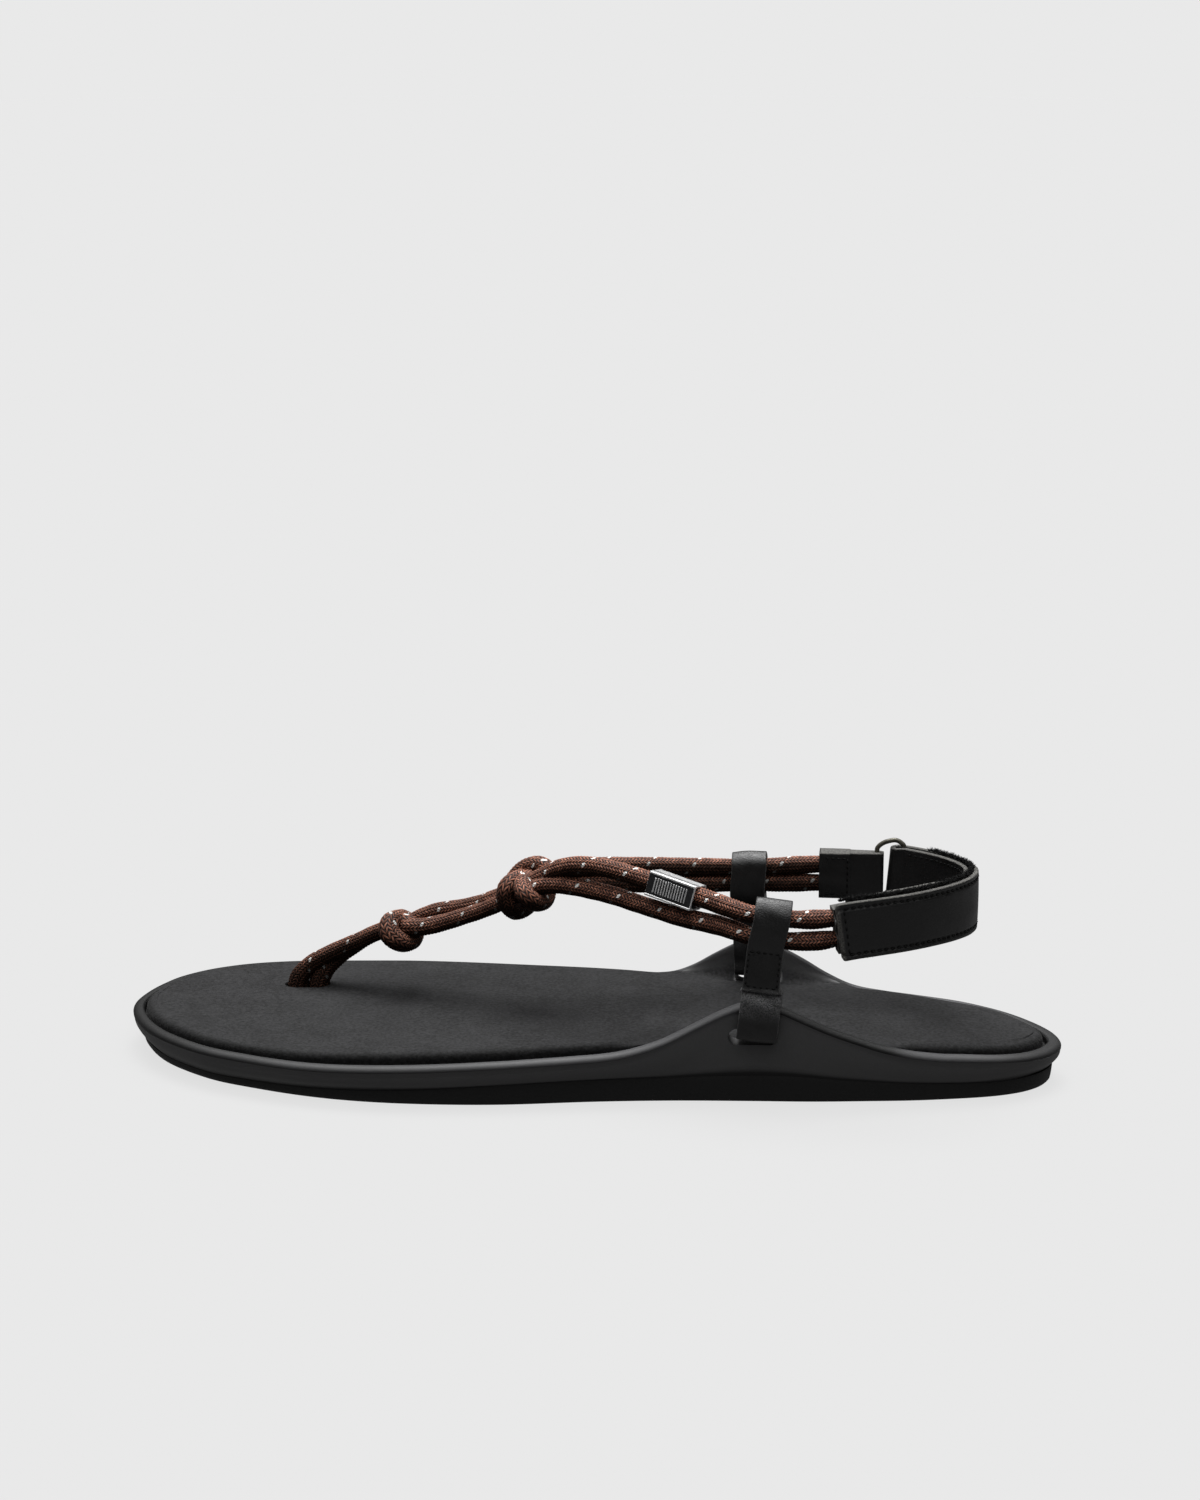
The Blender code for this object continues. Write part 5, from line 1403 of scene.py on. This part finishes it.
def build_bead():
    """Hollow shell with a dark panel, a raised border and plain ribs on its face."""
    lx, ly, lz = BEAD_SIZE
    count = 72
    a = 2 * math.pi * (np.arange(count) + 0.5) / count

    def block(x, shrink, corner):
        """Rounded rectangle square to the bead's axis."""
        half = np.array([[ly / 2 - shrink], [lz / 2 - shrink]])
        way = np.array([np.cos(a), np.sin(a)])
        p = way * (1.0 / np.max(np.abs(way) / half, axis=0))
        past = np.clip(np.abs(p) - (half - corner), 0, None)
        d = np.hypot(*past)
        rounded = np.sign(p) * (half - corner + past * (corner / np.maximum(d, 1e-6)))
        return np.column_stack([np.full(count, x), *np.where(d > corner, rounded, p)])

    h = lx / 2
    rings = [
        block(-h + 0.25, 0.0, 0.8), block(-h + 0.07, 0.07, 0.8), block(-h, 0.25, 0.8),
        block(-h + 0.1, 0.55, 0.7), block(-h + 1.0, 0.6, 0.7), block(h - 1.0, 0.6, 0.7),
        block(h - 0.1, 0.55, 0.7),
        block(h, 0.25, 0.8), block(h - 0.07, 0.07, 0.8), block(h - 0.25, 0.0, 0.8),
    ]
    bead_piece("bead_shell", np.vstack(rings), loft(rings, True), SILVER)

    def plates(name, mat, rows):
        """Thin plates with chamfered fronts; rows: x0, x1, z0, z1, back, front, chamfer."""
        verts, faces = [], []
        for x0, x1, z0, z1, back, front, edge in rows:
            base = len(verts)
            for y, e in ((back, 0), (front + edge, 0), (front, edge)):
                verts += [(x0 + e, y, z0 + e), (x1 - e, y, z0 + e), (x1 - e, y, z1 - e), (x0 + e, y, z1 - e)]
            faces += [tuple(range(base, base + 4)), tuple(range(base + 8, base + 12))]
            for r in (base, base + 4):
                faces += [(r + k, r + (k + 1) % 4, r + 4 + (k + 1) % 4, r + 4 + k) for k in range(4)]
        bead_piece(name, verts, faces, mat)

    # dark panel set in the near face, inside a raised border
    y = -ly / 2
    px, pz = h - 0.45, lz / 2 - 0.75
    plates("bead_panel", ENAMEL, [(-px - 0.3, px, -pz, pz, y + 0.3, y - 0.06, 0.04)])
    bars = (
        (-h + 0.1, h - 0.1, pz, lz / 2 - 0.12), (-h + 0.1, h - 0.1, -lz / 2 + 0.12, -pz),
        (px, h - 0.05, -pz, pz),
    )
    plates("bead_border", SILVER, [(*bar, y + 0.4, y - 0.16, 0.1) for bar in bars])
    ribs = [RIB_FIRST + RIB_PITCH * k for k in range(RIB_COUNT)]
    plates("bead_ribs", SILVER, [(x - 0.2, x + 0.2, -2.25, 2.25, y + 0.1, y - 0.18, 0.08) for x in ribs])


build_bead()


# ------------------------------------------------------------------ floor, backdrop and light
BACKDROP = 0.8148
FLOOR_GLOW = 0.713
FLOOR_ALBEDO = 0.06
CARD = 0.2
# level of the sky's light from straight below (0) to straight above (1)
SKY = ((0.0, 0.014), (0.48, 0.016), (0.56, 0.022), (0.74, 0.07), (0.88, 0.85), (1.0, 2.8))
# name, power, width, tilt, turn
SUNS = (("key", 2.4, 34.0, -22.0, 8.0), ("fill", 0.04, 60.0, 44.0, 12.0))


def emission_material(name, strength, albedo):
    """Plain white glow over a matt grey."""
    return Tree(
        name, 1.0, Base_Color=(*grey(albedo), 1.0), Specular_IOR_Level=0.0,
        Emission_Color=(1.0, 1.0, 1.0, 1.0), Emission_Strength=strength,
    ).mat


def build_stage():
    """Floor disc and dome, both glowing evenly."""
    reach = 6000.0
    n = 96
    t = 2 * math.pi * np.arange(n) / n
    rings = [np.column_stack([np.cos(t) * r, np.sin(t) * r, np.zeros(n)]) for r in (400.0, 1500.0, reach)]
    faces = loft(rings) + [tuple(range(n))]
    floor = make("floor", np.vstack(rings), faces, emission_material("floor", FLOOR_GLOW, FLOOR_ALBEDO))
    rings = []
    for k in range(25):
        e = math.radians(90.0 * k / 25)
        ring = [np.cos(t) * math.cos(e), np.sin(t) * math.cos(e), np.full(n, math.sin(e))]
        rings.append(np.column_stack(ring) * reach)
    faces = loft(rings) + [tuple(range(24 * n, 25 * n))]
    dome = make("backdrop", np.vstack(rings), faces, emission_material("backdrop", BACKDROP, 0.0))
    floor.visible_glossy = False
    dome.visible_glossy = False
    dome.visible_shadow = False
    # a dim card under the floor, seen only in sheen, keeps the blacks from going flat
    side = [(-900.0, -1200.0, -2.0), (1100.0, -1200.0, -2.0), (1100.0, 900.0, -2.0), (-900.0, 900.0, -2.0)]
    card = make("bounce_card", side, [(0, 1, 2, 3)], emission_material("bounce_card", CARD, 0.0))
    card.visible_camera = False
    card.visible_shadow = False
    for obj in (floor, dome, card):
        obj.visible_diffuse = False
        obj.visible_transmission = False


def build_light():
    """Sky that brightens upward, and two wide suns."""
    world = bpy.data.worlds.new("studio")
    scene.world = world
    world.use_nodes = True
    tree = world.node_tree
    coord, split, span, sky = (
        tree.nodes.new("ShaderNode" + kind) for kind in ("TexCoord", "SeparateXYZ", "MapRange", "ValToRGB"))
    span.inputs["From Min"].default_value = -1.0
    for out, into in (
        (coord.outputs["Generated"], split.inputs[0]), (split.outputs["Z"], span.inputs["Value"]),
        (span.outputs[0], sky.inputs[0]), (sky.outputs[0], tree.nodes["Background"].inputs["Color"]),
    ):
        tree.links.new(out, into)
    stops = sky.color_ramp.elements
    while len(stops) < len(SKY):
        stops.new(0.5)
    for stop, (at, level) in zip(stops, SKY):
        stop.position = at
        stop.color = (*grey(level), 1.0)
    for name, power, angle, tilt, turn in SUNS:
        lamp = bpy.data.lights.new(name, "SUN")
        lamp.energy = power
        lamp.angle = math.radians(angle)
        obj = bpy.data.objects.new(name, lamp)
        scene.collection.objects.link(obj)
        obj.rotation_euler = (math.radians(tilt), 0.0, math.radians(turn))


build_stage()
build_light()
scene.view_settings.view_transform = "Standard"
scene.view_settings.look = "None"
